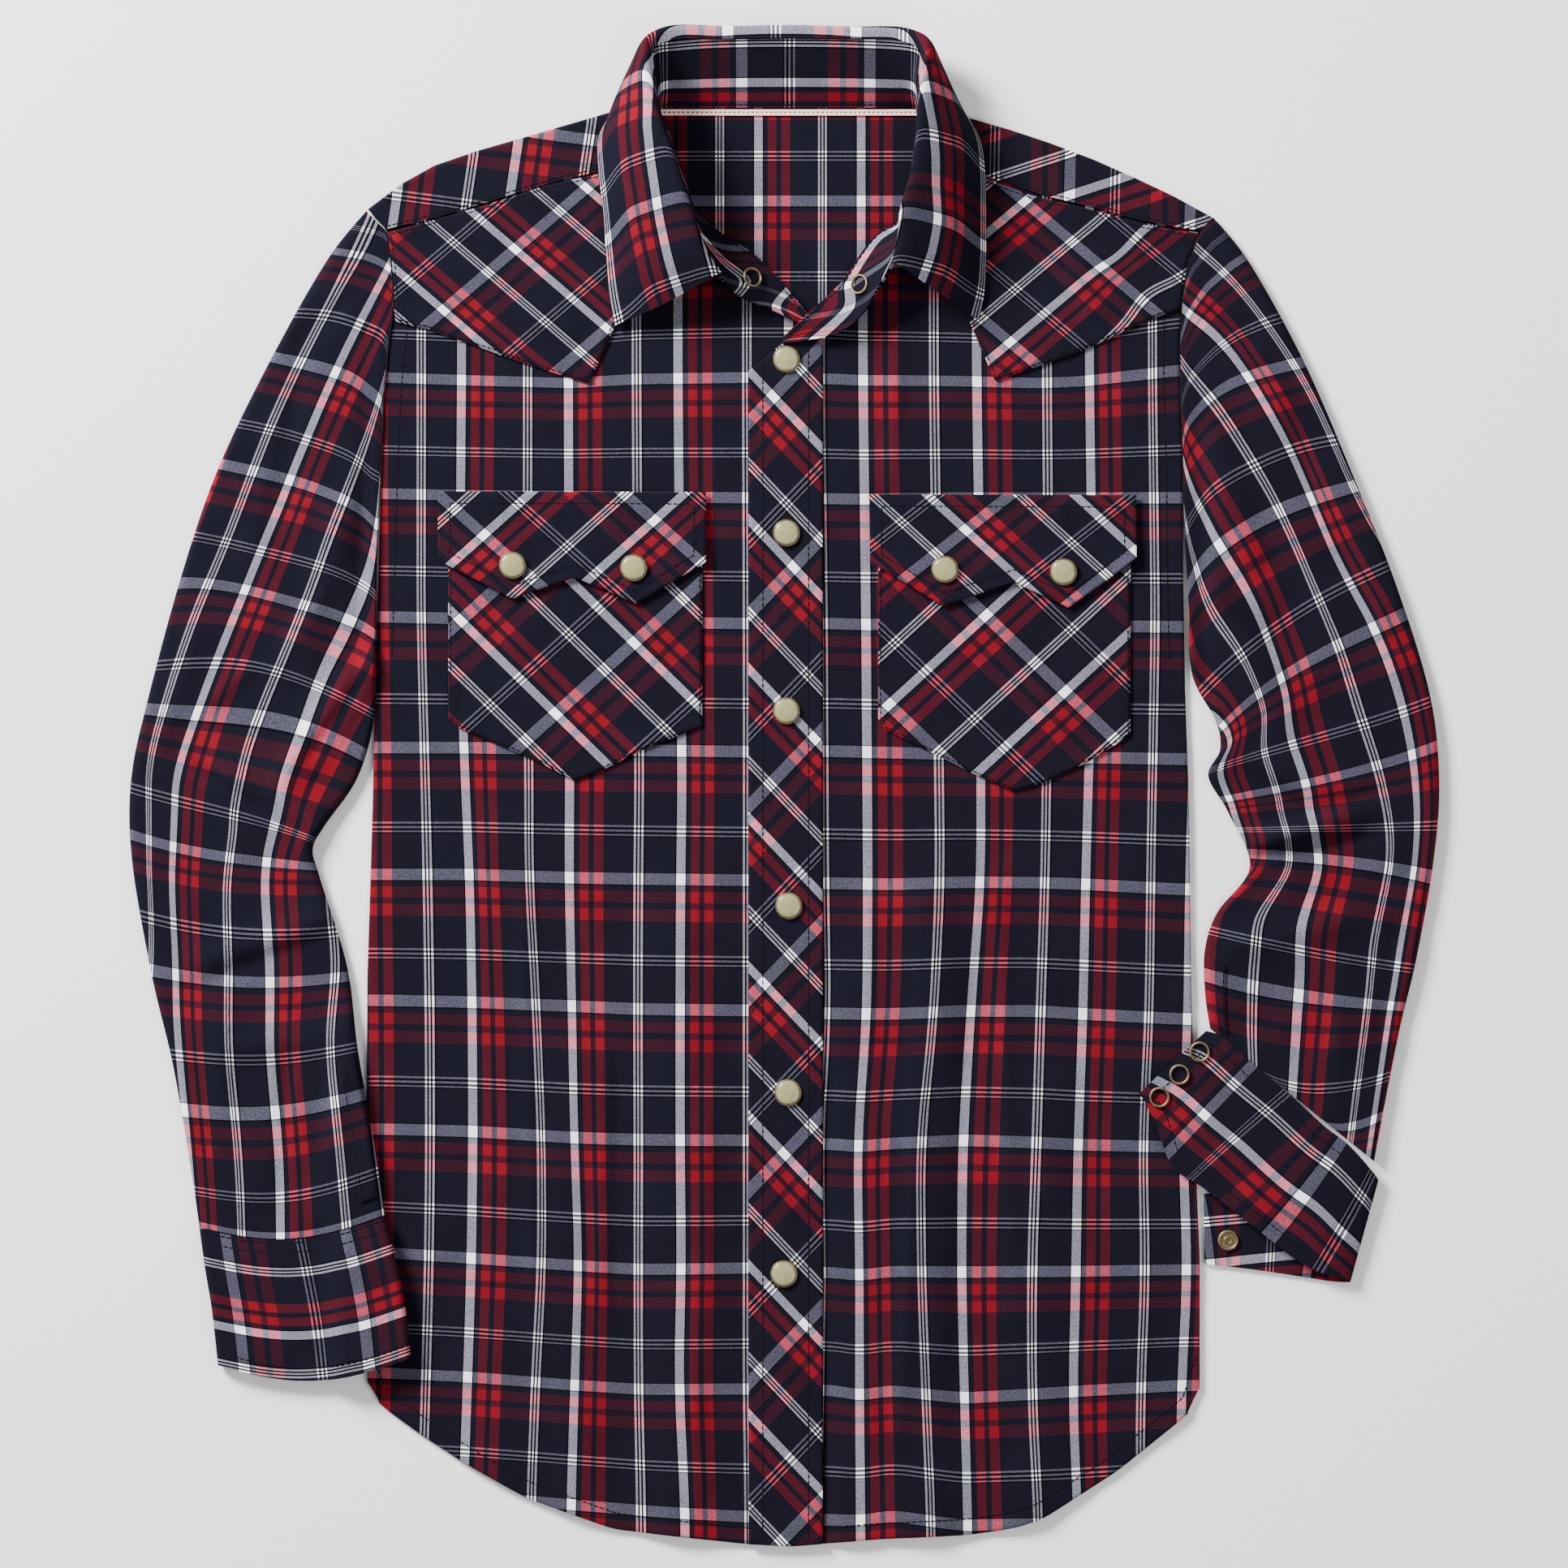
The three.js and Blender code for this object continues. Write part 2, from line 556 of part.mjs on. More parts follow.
// Joins two faces of a wall, each a grid of points, into one closed body
function closeWall(upper, lower, exists = () => true, ringed = false) {
  const rows = upper.length;
  const columns = upper[0].length;
  const cellColumns = ringed ? columns : columns - 1;
  const positions = [];
  const numbers = new Map();
  const triangles = [];
  const wrap = (c) => (ringed ? (c + columns) % columns : c);
  const hasCell = (r, c) => r >= 0 && r < rows - 1
    && (ringed || (c >= 0 && c < cellColumns)) && exists(r, wrap(c));
  const point = (face, r, c) => {
    const key = `${face}:${r}:${wrap(c)}`;
    if (!numbers.has(key)) {
      numbers.set(key, positions.length / 3);
      positions.push(...(face ? lower : upper)[r][wrap(c)].toArray());
    }
    return numbers.get(key);
  };
  const quad = (a, b, c, d) => triangles.push([a, b, c], [a, c, d]);
  for (let r = 0; r < rows - 1; r += 1) {
    for (let c = 0; c < cellColumns; c += 1) {
      if (!hasCell(r, c)) {
        continue;
      }
      quad(point(0, r, c), point(0, r + 1, c), point(0, r + 1, c + 1), point(0, r, c + 1));
      quad(point(1, r, c), point(1, r, c + 1), point(1, r + 1, c + 1), point(1, r + 1, c));
      if (!hasCell(r - 1, c)) {
        quad(point(0, r, c), point(0, r, c + 1), point(1, r, c + 1), point(1, r, c));
      }
      if (!hasCell(r + 1, c)) {
        quad(point(0, r + 1, c), point(1, r + 1, c), point(1, r + 1, c + 1), point(0, r + 1, c + 1));
      }
      if (!hasCell(r, c - 1)) {
        quad(point(0, r, c), point(1, r, c), point(1, r + 1, c), point(0, r + 1, c));
      }
      if (!hasCell(r, c + 1)) {
        quad(point(0, r, c + 1), point(0, r + 1, c + 1), point(1, r + 1, c + 1), point(1, r, c + 1));
      }
    }
  }
  return solidGeometry(positions, triangles);
}

// Turns points and triangles into a geometry whose faces point out
function solidGeometry(positions, triangles) {
  let volume = 0;
  const corner = (i) => new THREE.Vector3().fromArray(positions, 3 * i);
  for (const [a, b, c] of triangles) {
    volume += corner(a).dot(corner(b).cross(corner(c)));
  }
  const facing = volume < 0 ? triangles.map(([a, b, c]) => [a, c, b]) : triangles;
  const geometry = new THREE.BufferGeometry();
  geometry.setAttribute('position', new THREE.Float32BufferAttribute(positions, 3));
  geometry.setIndex(facing.flat());
  geometry.computeVertexNormals();
  return geometry;
}

// Direction square to a grid of points, at each of them
function gridNormals(grid, exists = () => true) {
  const rows = grid.length;
  const columns = grid[0].length;
  const used = (r, c) => {
    const inside = (a, b) => a >= 0 && a < rows - 1 && b >= 0 && b < columns - 1 && exists(a, b);
    return inside(r - 1, c - 1) || inside(r - 1, c) || inside(r, c - 1) || inside(r, c);
  };
  const neighbour = (r, c, dr, dc) => {
    const inGrid = r + dr >= 0 && r + dr < rows && c + dc >= 0 && c + dc < columns;
    return inGrid && used(r + dr, c + dc) ? grid[r + dr][c + dc] : grid[r][c];
  };
  return grid.map((row, r) => row.map((_, c) => {
    const across = neighbour(r, c, 0, 1).clone().sub(neighbour(r, c, 0, -1));
    const down = neighbour(r, c, 1, 0).clone().sub(neighbour(r, c, -1, 0));
    return down.cross(across).normalize();
  }));
}

// A wall of even thickness about a grid of middle points
function clothWall(grid, thickness, exists = () => true) {
  const normals = gridNormals(grid, exists);
  const moved = (amount) => grid.map((row, r) => row.map((p, c) => {
    const place = p.clone().addScaledVector(normals[r][c], amount);
    place.z = Math.max(0, place.z);
    return place;
  }));
  return closeWall(moved(thickness / 2), moved(-thickness / 2), exists);
}

// A wall whose underside is lifted straight up by its thickness
function liftedWall(grid, thickness) {
  const upper = grid.map((row) => row.map((p) => new THREE.Vector3(p.x, p.y, p.z + thickness)));
  return closeWall(upper, grid);
}

function addPiece(name, geometry, colour, roughness = 0.85, metalness = 0) {
  const material = new THREE.MeshStandardMaterial({ color: colour, roughness, metalness });
  material.name = name;
  const mesh = new THREE.Mesh(geometry, material);
  mesh.name = name;
  shirt.add(mesh);
  return mesh;
}

// Rise of the drape folds at a place on the fronts
function drapeHeight(x, y) {
  let rise = 0;
  for (const fold of DRAPE_FOLDS) {
    const along = (fold.from - y) / (fold.from - fold.to);
    const line = fold.x + fold.sway * Math.sin(along * 2.6);
    const ends = smoothStep(fold.from, fold.from - FOLD_FADE, y);
    const offset = (x - line) / fold.width;
    rise += fold.height * ends * Math.exp(-offset * offset);
  }
  const sides = smoothStep(SIDE_FADE_FROM, SIDE_FADE_TO, Math.abs(x));
  const centre = smoothStep(0, PLACKET_FADE, Math.max(PLACKET_LEFT - x, x - PLACKET_RIGHT));
  return rise * sides * centre;
}

// Rise of a sleeve's folds at a place on its upper side
function ridgeHeight(folds, x, y) {
  let rise = 0;
  for (const fold of folds) {
    const length = Math.hypot(fold.x2 - fold.x1, fold.y2 - fold.y1);
    const dx = (fold.x2 - fold.x1) / length;
    const dy = (fold.y2 - fold.y1) / length;
    const along = ((x - fold.x1) * dx + (y - fold.y1) * dy) / length;
    const beside = (x - fold.x1) * dy - (y - fold.y1) * dx;
    const ends = smoothStep(-0.25, 0.2, along) * smoothStep(1.25, 0.7, along);
    rise += fold.height * ends * Math.exp(-((beside / fold.width) ** 2));
  }
  return rise;
}

// Body panel between two columns of x, from a table of its upper edge to the hem
function frontPanel(topTable, xLeft, xRight, columns) {
  const grid = [];
  for (let r = 0; r <= FRONT_ROWS; r += 1) {
    const row = [];
    for (let c = 0; c <= columns; c += 1) {
      const u = c / columns;
      const topX = mix(xLeft(YOKE_SEAM_Y), xRight(YOKE_SEAM_Y), u);
      const hemY = BODY_SIDES[BODY_SIDES.length - 1].y;
      const hemX = mix(xLeft(hemY), xRight(hemY), u);
      const top = readTable(topTable, 'x', topX, 'y');
      const y = mix(top, readTable(HEM, 'x', hemX, 'y'), r / FRONT_ROWS);
      const x = mix(xLeft(y), xRight(y), u);
      row.push(new THREE.Vector3(x, y, FRONT_Z + drapeHeight(x, y)));
    }
    grid.push(row);
  }
  return grid;
}

const sideLeft = (y) => readTable(BODY_SIDES, 'y', y, 'left');
const sideRight = (y) => readTable(BODY_SIDES, 'y', y, 'right');
const withinSides = (x, y) => Math.min(sideRight(y) - SEAM_GAP, Math.max(sideLeft(y) + SEAM_GAP, x));

function addFronts() {
  const right = frontPanel(RIGHT_FRONT_TOP, sideLeft, () => UNDERLAP_RIGHT, RIGHT_FRONT_COLUMNS);
  addPiece('front_right', liftedWall(right, CLOTH), COLOURS.cloth);
  const edge = () => PLACKET_RIGHT + SEAM_GAP;
  const left = frontPanel(LEFT_FRONT_TOP, edge, sideRight, LEFT_FRONT_COLUMNS);
  addPiece('front_left', liftedWall(left, CLOTH), COLOURS.cloth);
}

function addBack() {
  const first = YOKE_COLUMNS[0].backX;
  const last = YOKE_COLUMNS[YOKE_COLUMNS.length - 1].backX;
  const grid = [];
  for (let r = 0; r <= BACK_ROWS; r += 1) {
    grid.push(YOKE_COLUMNS.map((seam) => {
      const u = (seam.backX - first) / (last - first);
      const hemX = mix(HEM[0].x, HEM[HEM.length - 1].x, u);
      const y = mix(seam.backY - SEAM_GAP, readTable(HEM, 'x', hemX, 'y'), r / BACK_ROWS);
      return new THREE.Vector3(mix(sideLeft(y), sideRight(y), u), y, BACK_Z);
    }));
  }
  addPiece('back', liftedWall(grid, CLOTH), COLOURS.cloth);
}

// Back yoke: along the floor to the shoulder, round its fold and down to the front seam
function addBackYoke() {
  const half = CLOTH / 2;
  const frontZ = ON_FRONT_Z + half;
  const turn = (frontZ - half) / 2;
  const columns = YOKE_COLUMNS.map((column, index) => {
    const neck = index > NECK_FIRST_COLUMN && index < NECK_LAST_COLUMN;
    const fold = new THREE.Vector2(column.foldX, column.foldY);
    const seam = new THREE.Vector2(column.seamX, column.seamY);
    const back = new THREE.Vector2(column.backX, column.backY);
    const inward = seam.clone().sub(fold).normalize();
    const centre = fold.clone().addScaledVector(inward, neck ? 0 : turn + half);
    const path = [];
    for (const t of YOKE_BACK_SHARES) {
      const place = back.clone().lerp(centre, t);
      path.push(new THREE.Vector3(withinSides(place.x, place.y), place.y, half));
    }
    for (let step = 1; step <= YOKE_TURN_STEPS; step += 1) {
      const angle = (Math.PI * step) / YOKE_TURN_STEPS;
      const place = centre.clone().addScaledVector(inward, -turn * Math.sin(angle));
      path.push(new THREE.Vector3(place.x, place.y, half + turn * (1 - Math.cos(angle))));
    }
    for (const t of YOKE_FRONT_SHARES) {
      const place = centre.clone().lerp(seam, t);
      path.push(new THREE.Vector3(place.x, place.y, frontZ));
    }
    return path;
  });
  const grid = columns[0].map((_, r) => columns.map((path) => path[r]));
  const backCells = YOKE_BACK_SHARES.length - 1;
  const exists = (r, c) => r < backCells || c < NECK_FIRST_COLUMN || c >= NECK_LAST_COLUMN;
  addPiece('back_yoke', clothWall(grid, CLOTH, exists), COLOURS.redCloth);
}

// Patch that lies on a front between an upper and a lower edge
function frontPatch(columns, rows, underside, curl = 0) {
  const grid = [];
  for (let r = 0; r <= rows; r += 1) {
    const t = r / rows;
    grid.push(columns.map((column) => {
      const y = mix(column.topY - YOKE_SEAM_DROP, column.lowY, t);
      const x = withinSides(mix(column.topX, column.lowX, t), y);
      return new THREE.Vector3(x, y, underside + drapeHeight(x, y) + curl * t * t);
    }));
  }
  return grid;
}

const uprightColumns = (table) => table.map(
  (row) => ({ topX: row.x, topY: row.top, lowX: row.x, lowY: row.low }),
);

function addFrontYokes() {
  const sides = { right: FRONT_YOKE_RIGHT, left: FRONT_YOKE_LEFT };
  for (const [side, table] of Object.entries(sides)) {
    const grid = frontPatch(table, FRONT_YOKE_ROWS, ON_FRONT_Z);
    addPiece(`front_yoke_${side}`, liftedWall(grid, CLOTH), COLOURS.redCloth);
  }
}

function addPockets() {
  const sides = { right: [POCKET_RIGHT, FLAP_RIGHT], left: [POCKET_LEFT, FLAP_LEFT] };
  for (const [side, [pocket, flap]] of Object.entries(sides)) {
    const body = frontPatch(uprightColumns(pocket), POCKET_ROWS, ON_FRONT_Z);
    addPiece(`pocket_${side}`, liftedWall(body, CLOTH), COLOURS.paleCloth);
    const cover = frontPatch(uprightColumns(flap), FLAP_ROWS, ON_POCKET_Z, FLAP_CURL);
    addPiece(`pocket_flap_${side}`, liftedWall(cover, CLOTH), COLOURS.redCloth);
  }
}

function addPlacket() {
  const grid = [];
  for (let r = 0; r <= PLACKET_ROWS; r += 1) {
    grid.push(PLACKET_TOP.map((corner) => {
      const y = mix(corner.y, readTable(HEM, 'x', corner.x, 'y'), r / PLACKET_ROWS);
      return new THREE.Vector3(corner.x, y, ON_FRONT_Z);
    }));
  }
  addPiece('placket', liftedWall(grid, BAND_CLOTH), COLOURS.redCloth);
}

// Point on a flattened tube, at one station of its table and one place round its section
function tubePoint(tube, station, place, wall) {
  const row = smoothRow(tube.rows, station);
  const outer = new THREE.Vector2(row.outX, row.outY);
  const inner = new THREE.Vector2(row.inX, row.inY);
  const width = outer.distanceTo(inner);
  const margin = wall / width;
  const across = margin + place.across * (1 - 2 * margin);
  const along = inner.clone().sub(outer).divideScalar(width);
  const bow = row.bow * Math.sin(Math.PI * across);
  const x = mix(outer.x, inner.x, across) + tube.armhole(across) * smoothStep(ARMHOLE_REACH, 0, station);
  const y = mix(outer.y, inner.y, across) + bow;
  const lift = tube.lift * tube.liftAt(x, y);
  const rise = ridgeHeight(tube.folds, x, y) * place.up;
  const z = lift + wall + place.up * (row.height - 2 * wall) + rise * smoothStep(0, 0.15, station);
  return new THREE.Vector3(x, y, z);
}

function tubeFace(tube, places, wall) {
  return places.map((station) => TUBE_SECTION.map((place) => tubePoint(tube, station, place, wall)));
}

function tubeWall(tube, perRow, wall) {
  const places = stepsThrough(tube.rows, perRow);
  return closeWall(tubeFace(tube, places, 0), tubeFace(tube, places, wall), () => true, true);
}

// How far the armhole seam stands off the straight line between the ends of the first station
function armholeOffset(rows, side, gap) {
  return (across) => {
    const y = mix(rows[0].outY, rows[0].inY, across);
    return side(y) + gap - mix(rows[0].outX, rows[0].inX, across);
  };
}

// The closed cuff and the end of its sleeve lie on the side of the body
const onRightSide = (x, y) => smoothStep(CLIMB_X.from, CLIMB_X.to, x)
  * smoothStep(CLIMB_Y.from, CLIMB_Y.to, y);
const nowhere = () => 0;

const SLEEVES = {
  right: {
    rows: SLEEVE_RIGHT,
    folds: RIGHT_SLEEVE_FOLDS,
    lift: SLEEVE_LIFT,
    liftAt: onRightSide,
    armhole: armholeOffset(SLEEVE_RIGHT, sideLeft, -ARMHOLE_GAP),
  },
  left: {
    rows: SLEEVE_LEFT,
    folds: LEFT_SLEEVE_FOLDS,
    lift: 0,
    liftAt: nowhere,
    armhole: armholeOffset(SLEEVE_LEFT, sideRight, ARMHOLE_GAP),
  },
};
const CLOSED_CUFF = {
  rows: CUFF_RIGHT, folds: [], lift: CUFF_LIFT, liftAt: onRightSide, armhole: nowhere,
};

function addSleeves() {
  for (const [side, tube] of Object.entries(SLEEVES)) {
    addPiece(`sleeve_${side}`, tubeWall(tube, 2, CLOTH), COLOURS.cloth);
  }
  addPiece('cuff_right', tubeWall(CLOSED_CUFF, 1, BAND_CLOTH), COLOURS.redCloth);
}

// Strip that binds the cuff vent, along the inner edge of a sleeve
function addVentStrips() {
  for (const [side, tube] of Object.entries(SLEEVES)) {
    const grid = [];
    for (let r = 0; r <= VENT_STRIP_ROWS; r += 1) {
      const station = mix(VENT_STRIP_FROM, VENT_STRIP_TO, r / VENT_STRIP_ROWS);
      grid.push(VENT_SECTION.map((place) => {
        const point = tubePoint(tube, station, place, 0);
        point.z += SEAM_GAP;
        return point;
      }));
    }
    addPiece(`sleeve_placket_${side}`, liftedWall(grid, CLOTH), COLOURS.paleCloth);
  }
}

function addOpenCuff() {
  const places = stepsThrough(CUFF_LEFT, 2);
  const grid = [];
  for (let step = 0; step <= CUFF_ROWS; step += 1) {
    const t = step / CUFF_ROWS;
    grid.push(places.map((place) => {
      const row = smoothRow(CUFF_LEFT, place);
      return new THREE.Vector3(
        mix(row.topX, row.lowX, t),
        mix(row.topY, row.lowY, t),
        Math.max(BAND_CLOTH / 2, mix(row.topZ, row.lowZ, t)),
      );
    }));
  }
  addPiece('cuff_left', clothWall(grid, BAND_CLOTH), COLOURS.redCloth);
}

const toVector = (list) => new THREE.Vector3(...list);

// A smooth curve through points, as an even number of places
function curvePoints(points, count) {
  return new THREE.CatmullRomCurve3(points, false, 'centripetal').getPoints(count);
}

function addCollar() {
  const stations = [...COLLAR_RIGHT, ...[...COLLAR_LEFT].reverse()];
  const seams = curvePoints(stations.map((s) => toVector(s.seam)), stations.length * 2 - 2);
  const tops = curvePoints(stations.map((s) => toVector(s.top)), stations.length * 2 - 2);
  const stand = [tops, seams.map((p, i) => p.clone().lerp(tops[i], 0.5)), seams];
  addPiece('collar_stand', clothWall(stand, BAND_CLOTH), COLOURS.cloth);

  const leafStations = stations.filter((s) => s.fold);
  const lines = leafStations.map((s) => {
    const top = toVector(s.top);
    const fold = toVector(s.fold);
    const root = top.clone().lerp(fold, 0.45);
    return curvePoints([root, fold, toVector(s.belly), toVector(s.edge)], LEAF_ROWS);
  });
  const leaf = [];
  for (let r = 0; r < lines[0].length; r += 1) {
    leaf.push(curvePoints(lines.map((line) => line[r]), (lines.length - 1) * 2));
  }
  addPiece('collar_leaf', clothWall(leaf, BAND_CLOTH), COLOURS.paleCloth);
}

function addNeckTape() {
  const grid = [NECK_TAPE.high, NECK_TAPE.low].map((y) => {
    const row = [];
    for (let c = 0; c <= TAPE_COLUMNS; c += 1) {
      const x = mix(NECK_TAPE.left, NECK_TAPE.right, c / TAPE_COLUMNS);
      row.push(new THREE.Vector3(x, y, NECK_TAPE.z));
    }
    return row;
  });
  addPiece('neck_tape', liftedWall(grid, NECK_TAPE.thickness), COLOURS.tape);
}

function latheSolid(profile) {
  const positions = [];
  const triangles = [];
  const rings = profile.map(([radius, z]) => {
    const first = positions.length / 3;
    const count = radius === 0 ? 1 : SNAP_SIDES;
    for (let i = 0; i < count; i += 1) {
      const angle = (2 * Math.PI * i) / SNAP_SIDES;
      positions.push(radius * Math.cos(angle), radius * Math.sin(angle), z);
    }
    return { first, count };
  });
  const at = (ring, i) => ring.first + (ring.count === 1 ? 0 : i % SNAP_SIDES);
  rings.forEach((ring, k) => {
    const next = rings[(k + 1) % rings.length];
    for (let i = 0; i < SNAP_SIDES; i += 1) {
      const corners = [at(ring, i), at(next, i), at(next, i + 1), at(ring, i + 1)];
      const kept = corners.filter((corner, j) => corner !== corners[(j + 3) % 4]);
      if (kept.length >= 3) {
        triangles.push([kept[0], kept[1], kept[2]]);
      }
      if (kept.length === 4) {
        triangles.push([kept[0], kept[2], kept[3]]);
      }
    }
  });
  return solidGeometry(positions, triangles);
}

function rimGeometry() {
  return latheSolid([
    [PEARL_RADIUS + SEAM_GAP, 0],
    [CAP_RADIUS + SEAM_GAP, 0],
    [CAP_RADIUS + SEAM_GAP, RIM_HEIGHT * 0.6],
    [PEARL_RADIUS + SEAM_GAP, RIM_HEIGHT],
  ]);
}

function pearlGeometry() {
  return latheSolid([
    [0, 0],
    [PEARL_RADIUS, 0],
    [PEARL_RADIUS, PEARL_HEIGHT * 0.45],
    [PEARL_RADIUS * 0.72, PEARL_HEIGHT * 0.86],
    [0, PEARL_HEIGHT],
  ]);
}

function ringGeometry() {
  return latheSolid([
    [RING_RADIUS - RING_WIDTH, 0],
    [RING_RADIUS, 0],
    [RING_RADIUS - RING_WIDTH * 0.3, RING_HEIGHT],
    [RING_RADIUS - RING_WIDTH, RING_HEIGHT * 0.7],
  ]);
}

function studGeometry() {
  return latheSolid([
    [0, 0],
    [RING_RADIUS, 0],
    [RING_RADIUS, RING_HEIGHT * 0.7],
    [RING_RADIUS * 0.45, RING_HEIGHT * 0.7],
    [RING_RADIUS * 0.4, RING_HEIGHT * 2.2],
    [0, RING_HEIGHT * 2.2],
  ]);
}

// Seats a round fitting on the cloth, with its own axis along up
function seat(mesh, place, up = new THREE.Vector3(0, 0, 1)) {
  mesh.position.copy(place);
  mesh.quaternion.setFromUnitVectors(new THREE.Vector3(0, 0, 1), up);
}

function addCap(name, place, up) {
  seat(addPiece(`${name}_rim`, rimGeometry(), COLOURS.brass, 0.35, 0.9), place, up);
  seat(addPiece(`${name}_pearl`, pearlGeometry(), COLOURS.pearl, 0.25), place, up);
}

function addSnaps() {
  const placketTop = ON_FRONT_Z + BAND_CLOTH + SEAM_GAP;
  PLACKET_SNAPS.forEach((snap, i) => {
    addCap(`placket_snap_${i + 1}`, new THREE.Vector3(snap.x, snap.y, placketTop));
  });
  const flapTop = ON_POCKET_Z + CLOTH + FLAP_CURL + SEAM_GAP;
  for (const snap of FLAP_SNAPS) {
    addCap(snap.name, new THREE.Vector3(snap.x, snap.y, flapTop));
  }
}

// Point and upward direction on a strip of cloth between four corners
function onPatch(a, b, c, d, u, v) {
  const point = a.clone().lerp(b, u).lerp(c.clone().lerp(d, u), v);
  const across = b.clone().sub(a).lerp(d.clone().sub(c), v);
  const down = c.clone().sub(a).lerp(d.clone().sub(b), u);
  const up = across.cross(down).normalize();
  return { point, up: up.z < 0 ? up.negate() : up };
}

function addRing(name, geometry, patch) {
  const place = patch.point.addScaledVector(patch.up, BAND_CLOTH / 2 + RING_GAP);
  seat(addPiece(name, geometry, COLOURS.brass, 0.35, 0.9), place, patch.up);
}

function collarPatch(table, ring) {
  const a = table[ring.station];
  const b = table[ring.station + 1];
  const seams = [toVector(a.seam), toVector(b.seam)];
  return onPatch(...seams, toVector(a.top), toVector(b.top), ring.along, ring.across);
}

function cuffPatch(ring) {
  const step = 0.02;
  const a = smoothRow(CUFF_LEFT, ring.along);
  const b = smoothRow(CUFF_LEFT, ring.along + step);
  const top = (row) => new THREE.Vector3(row.topX, row.topY, row.topZ);
  const low = (row) => new THREE.Vector3(row.lowX, row.lowY, row.lowZ);
  return onPatch(top(a), top(b), low(a), low(b), 0, ring.across);
}

function addRings() {
  addRing('stand_ring_right', ringGeometry(), collarPatch(COLLAR_RIGHT, STAND_RING_RIGHT));
  addRing('stand_ring_left', ringGeometry(), collarPatch(COLLAR_LEFT, STAND_RING_LEFT));
  CUFF_RINGS.forEach((ring, i) => {
    addRing(`cuff_ring_${i + 1}`, ringGeometry(), cuffPatch(ring));
  });
  const underLayer = {
    point: new THREE.Vector3(CUFF_STUD.x, CUFF_STUD.y, BAND_CLOTH / 2),
    up: new THREE.Vector3(0, 0, 1),
  };
  addRing('cuff_stud', studGeometry(), underLayer);
}

// Snap caps that close the right cuff, on its underside
function addHiddenSnaps() {
  const down = new THREE.Vector3(0, 0, -1);
  HIDDEN_CUFF_SNAPS.forEach((snap, i) => {
    const place = new THREE.Vector3(snap.x, snap.y, CUFF_LIFT - SEAM_GAP);
    addCap(`cuff_snap_right_${i + 1}`, place, down);
  });
}

addBack();
addBackYoke();
addFronts();
addFrontYokes();
addPlacket();
addPockets();
addSleeves();
addVentStrips();
addOpenCuff();
addCollar();
addNeckTape();
addSnaps();
addRings();
addHiddenSnaps();

export default shirt;
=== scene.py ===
"""Western snap shirt laid flat: the cloth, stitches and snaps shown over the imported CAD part.

Lengths in the tables are millimetres in the part's frame: +X to the wearer's left sleeve, +Y to the
collar, +Z up from the surface that the shirt lies on.
"""

import logging
import math
from collections.abc import Callable, Sequence
from dataclasses import dataclass, field
from enum import Enum
from functools import partial

import bmesh
import bpy
import numpy as np
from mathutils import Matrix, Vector


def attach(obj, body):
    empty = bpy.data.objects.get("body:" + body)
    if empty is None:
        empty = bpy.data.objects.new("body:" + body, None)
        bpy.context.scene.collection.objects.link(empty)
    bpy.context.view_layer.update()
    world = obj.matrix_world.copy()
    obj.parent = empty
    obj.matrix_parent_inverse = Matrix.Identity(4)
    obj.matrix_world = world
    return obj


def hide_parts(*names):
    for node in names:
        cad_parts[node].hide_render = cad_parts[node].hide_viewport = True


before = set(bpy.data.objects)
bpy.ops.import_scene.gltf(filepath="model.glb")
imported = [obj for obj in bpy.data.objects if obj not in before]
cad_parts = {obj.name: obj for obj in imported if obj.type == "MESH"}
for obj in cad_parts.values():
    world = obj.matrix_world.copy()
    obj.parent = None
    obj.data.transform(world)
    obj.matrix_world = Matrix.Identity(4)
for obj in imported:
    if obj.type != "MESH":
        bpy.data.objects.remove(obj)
LOG = logging.getLogger("western_snap_shirt")
MM = 0.001
TINY = 1e-9
Colour = tuple[float, float, float, float]

# Repeat of the check along the weft coordinate, and the middle of the wide white stripe of each set
WEFT_REPEAT = 66.2
WARP_WHITE = 2.95
WEFT_WHITE = 3.35
YARN_POWER = 16.0


class Yarn(Enum):
    """Yarn colours, as the sixteenth root of their colour so that they mix as yarns do."""

    BLACK = (0.632, 0.632, 0.648, 1)
    NAVY = (0.728, 0.726, 0.757, 1)
    RED = (0.896, 0.722, 0.758, 1)
    WHITE = (0.998, 0.998, 1.0, 1)


class Side(Enum):
    """Edges of a grid of points."""

    FIRST_ROW = "first row"
    LAST_ROW = "last row"
    FIRST_COLUMN = "first column"
    LAST_COLUMN = "last column"


# Stripes of one repeat of each set of yarns: colour and width
WARP_BANDS = (
    (Yarn.BLACK, 0.6), (Yarn.WHITE, 4.7), (Yarn.BLACK, 0.8), (Yarn.NAVY, 2.2), (Yarn.RED, 4.8),
    (Yarn.NAVY, 2.7), (Yarn.RED, 5.0), (Yarn.NAVY, 15.5), (Yarn.BLACK, 0.6), (Yarn.WHITE, 1.0),
    (Yarn.BLACK, 0.9), (Yarn.WHITE, 1.1), (Yarn.BLACK, 0.9), (Yarn.WHITE, 1.1), (Yarn.BLACK, 0.8),
    (Yarn.NAVY, 15.7),
)
WEFT_BANDS = (
    (Yarn.BLACK, 0.4), (Yarn.WHITE, 5.9), (Yarn.BLACK, 0.8), (Yarn.NAVY, 2.7), (Yarn.RED, 5.7),
    (Yarn.NAVY, 3.3), (Yarn.RED, 6.1), (Yarn.NAVY, 16.8), (Yarn.BLACK, 0.4), (Yarn.WHITE, 0.9),
    (Yarn.BLACK, 1.3), (Yarn.WHITE, 1.0), (Yarn.BLACK, 1.3), (Yarn.WHITE, 0.9), (Yarn.BLACK, 0.6),
    (Yarn.NAVY, 18.1),
)


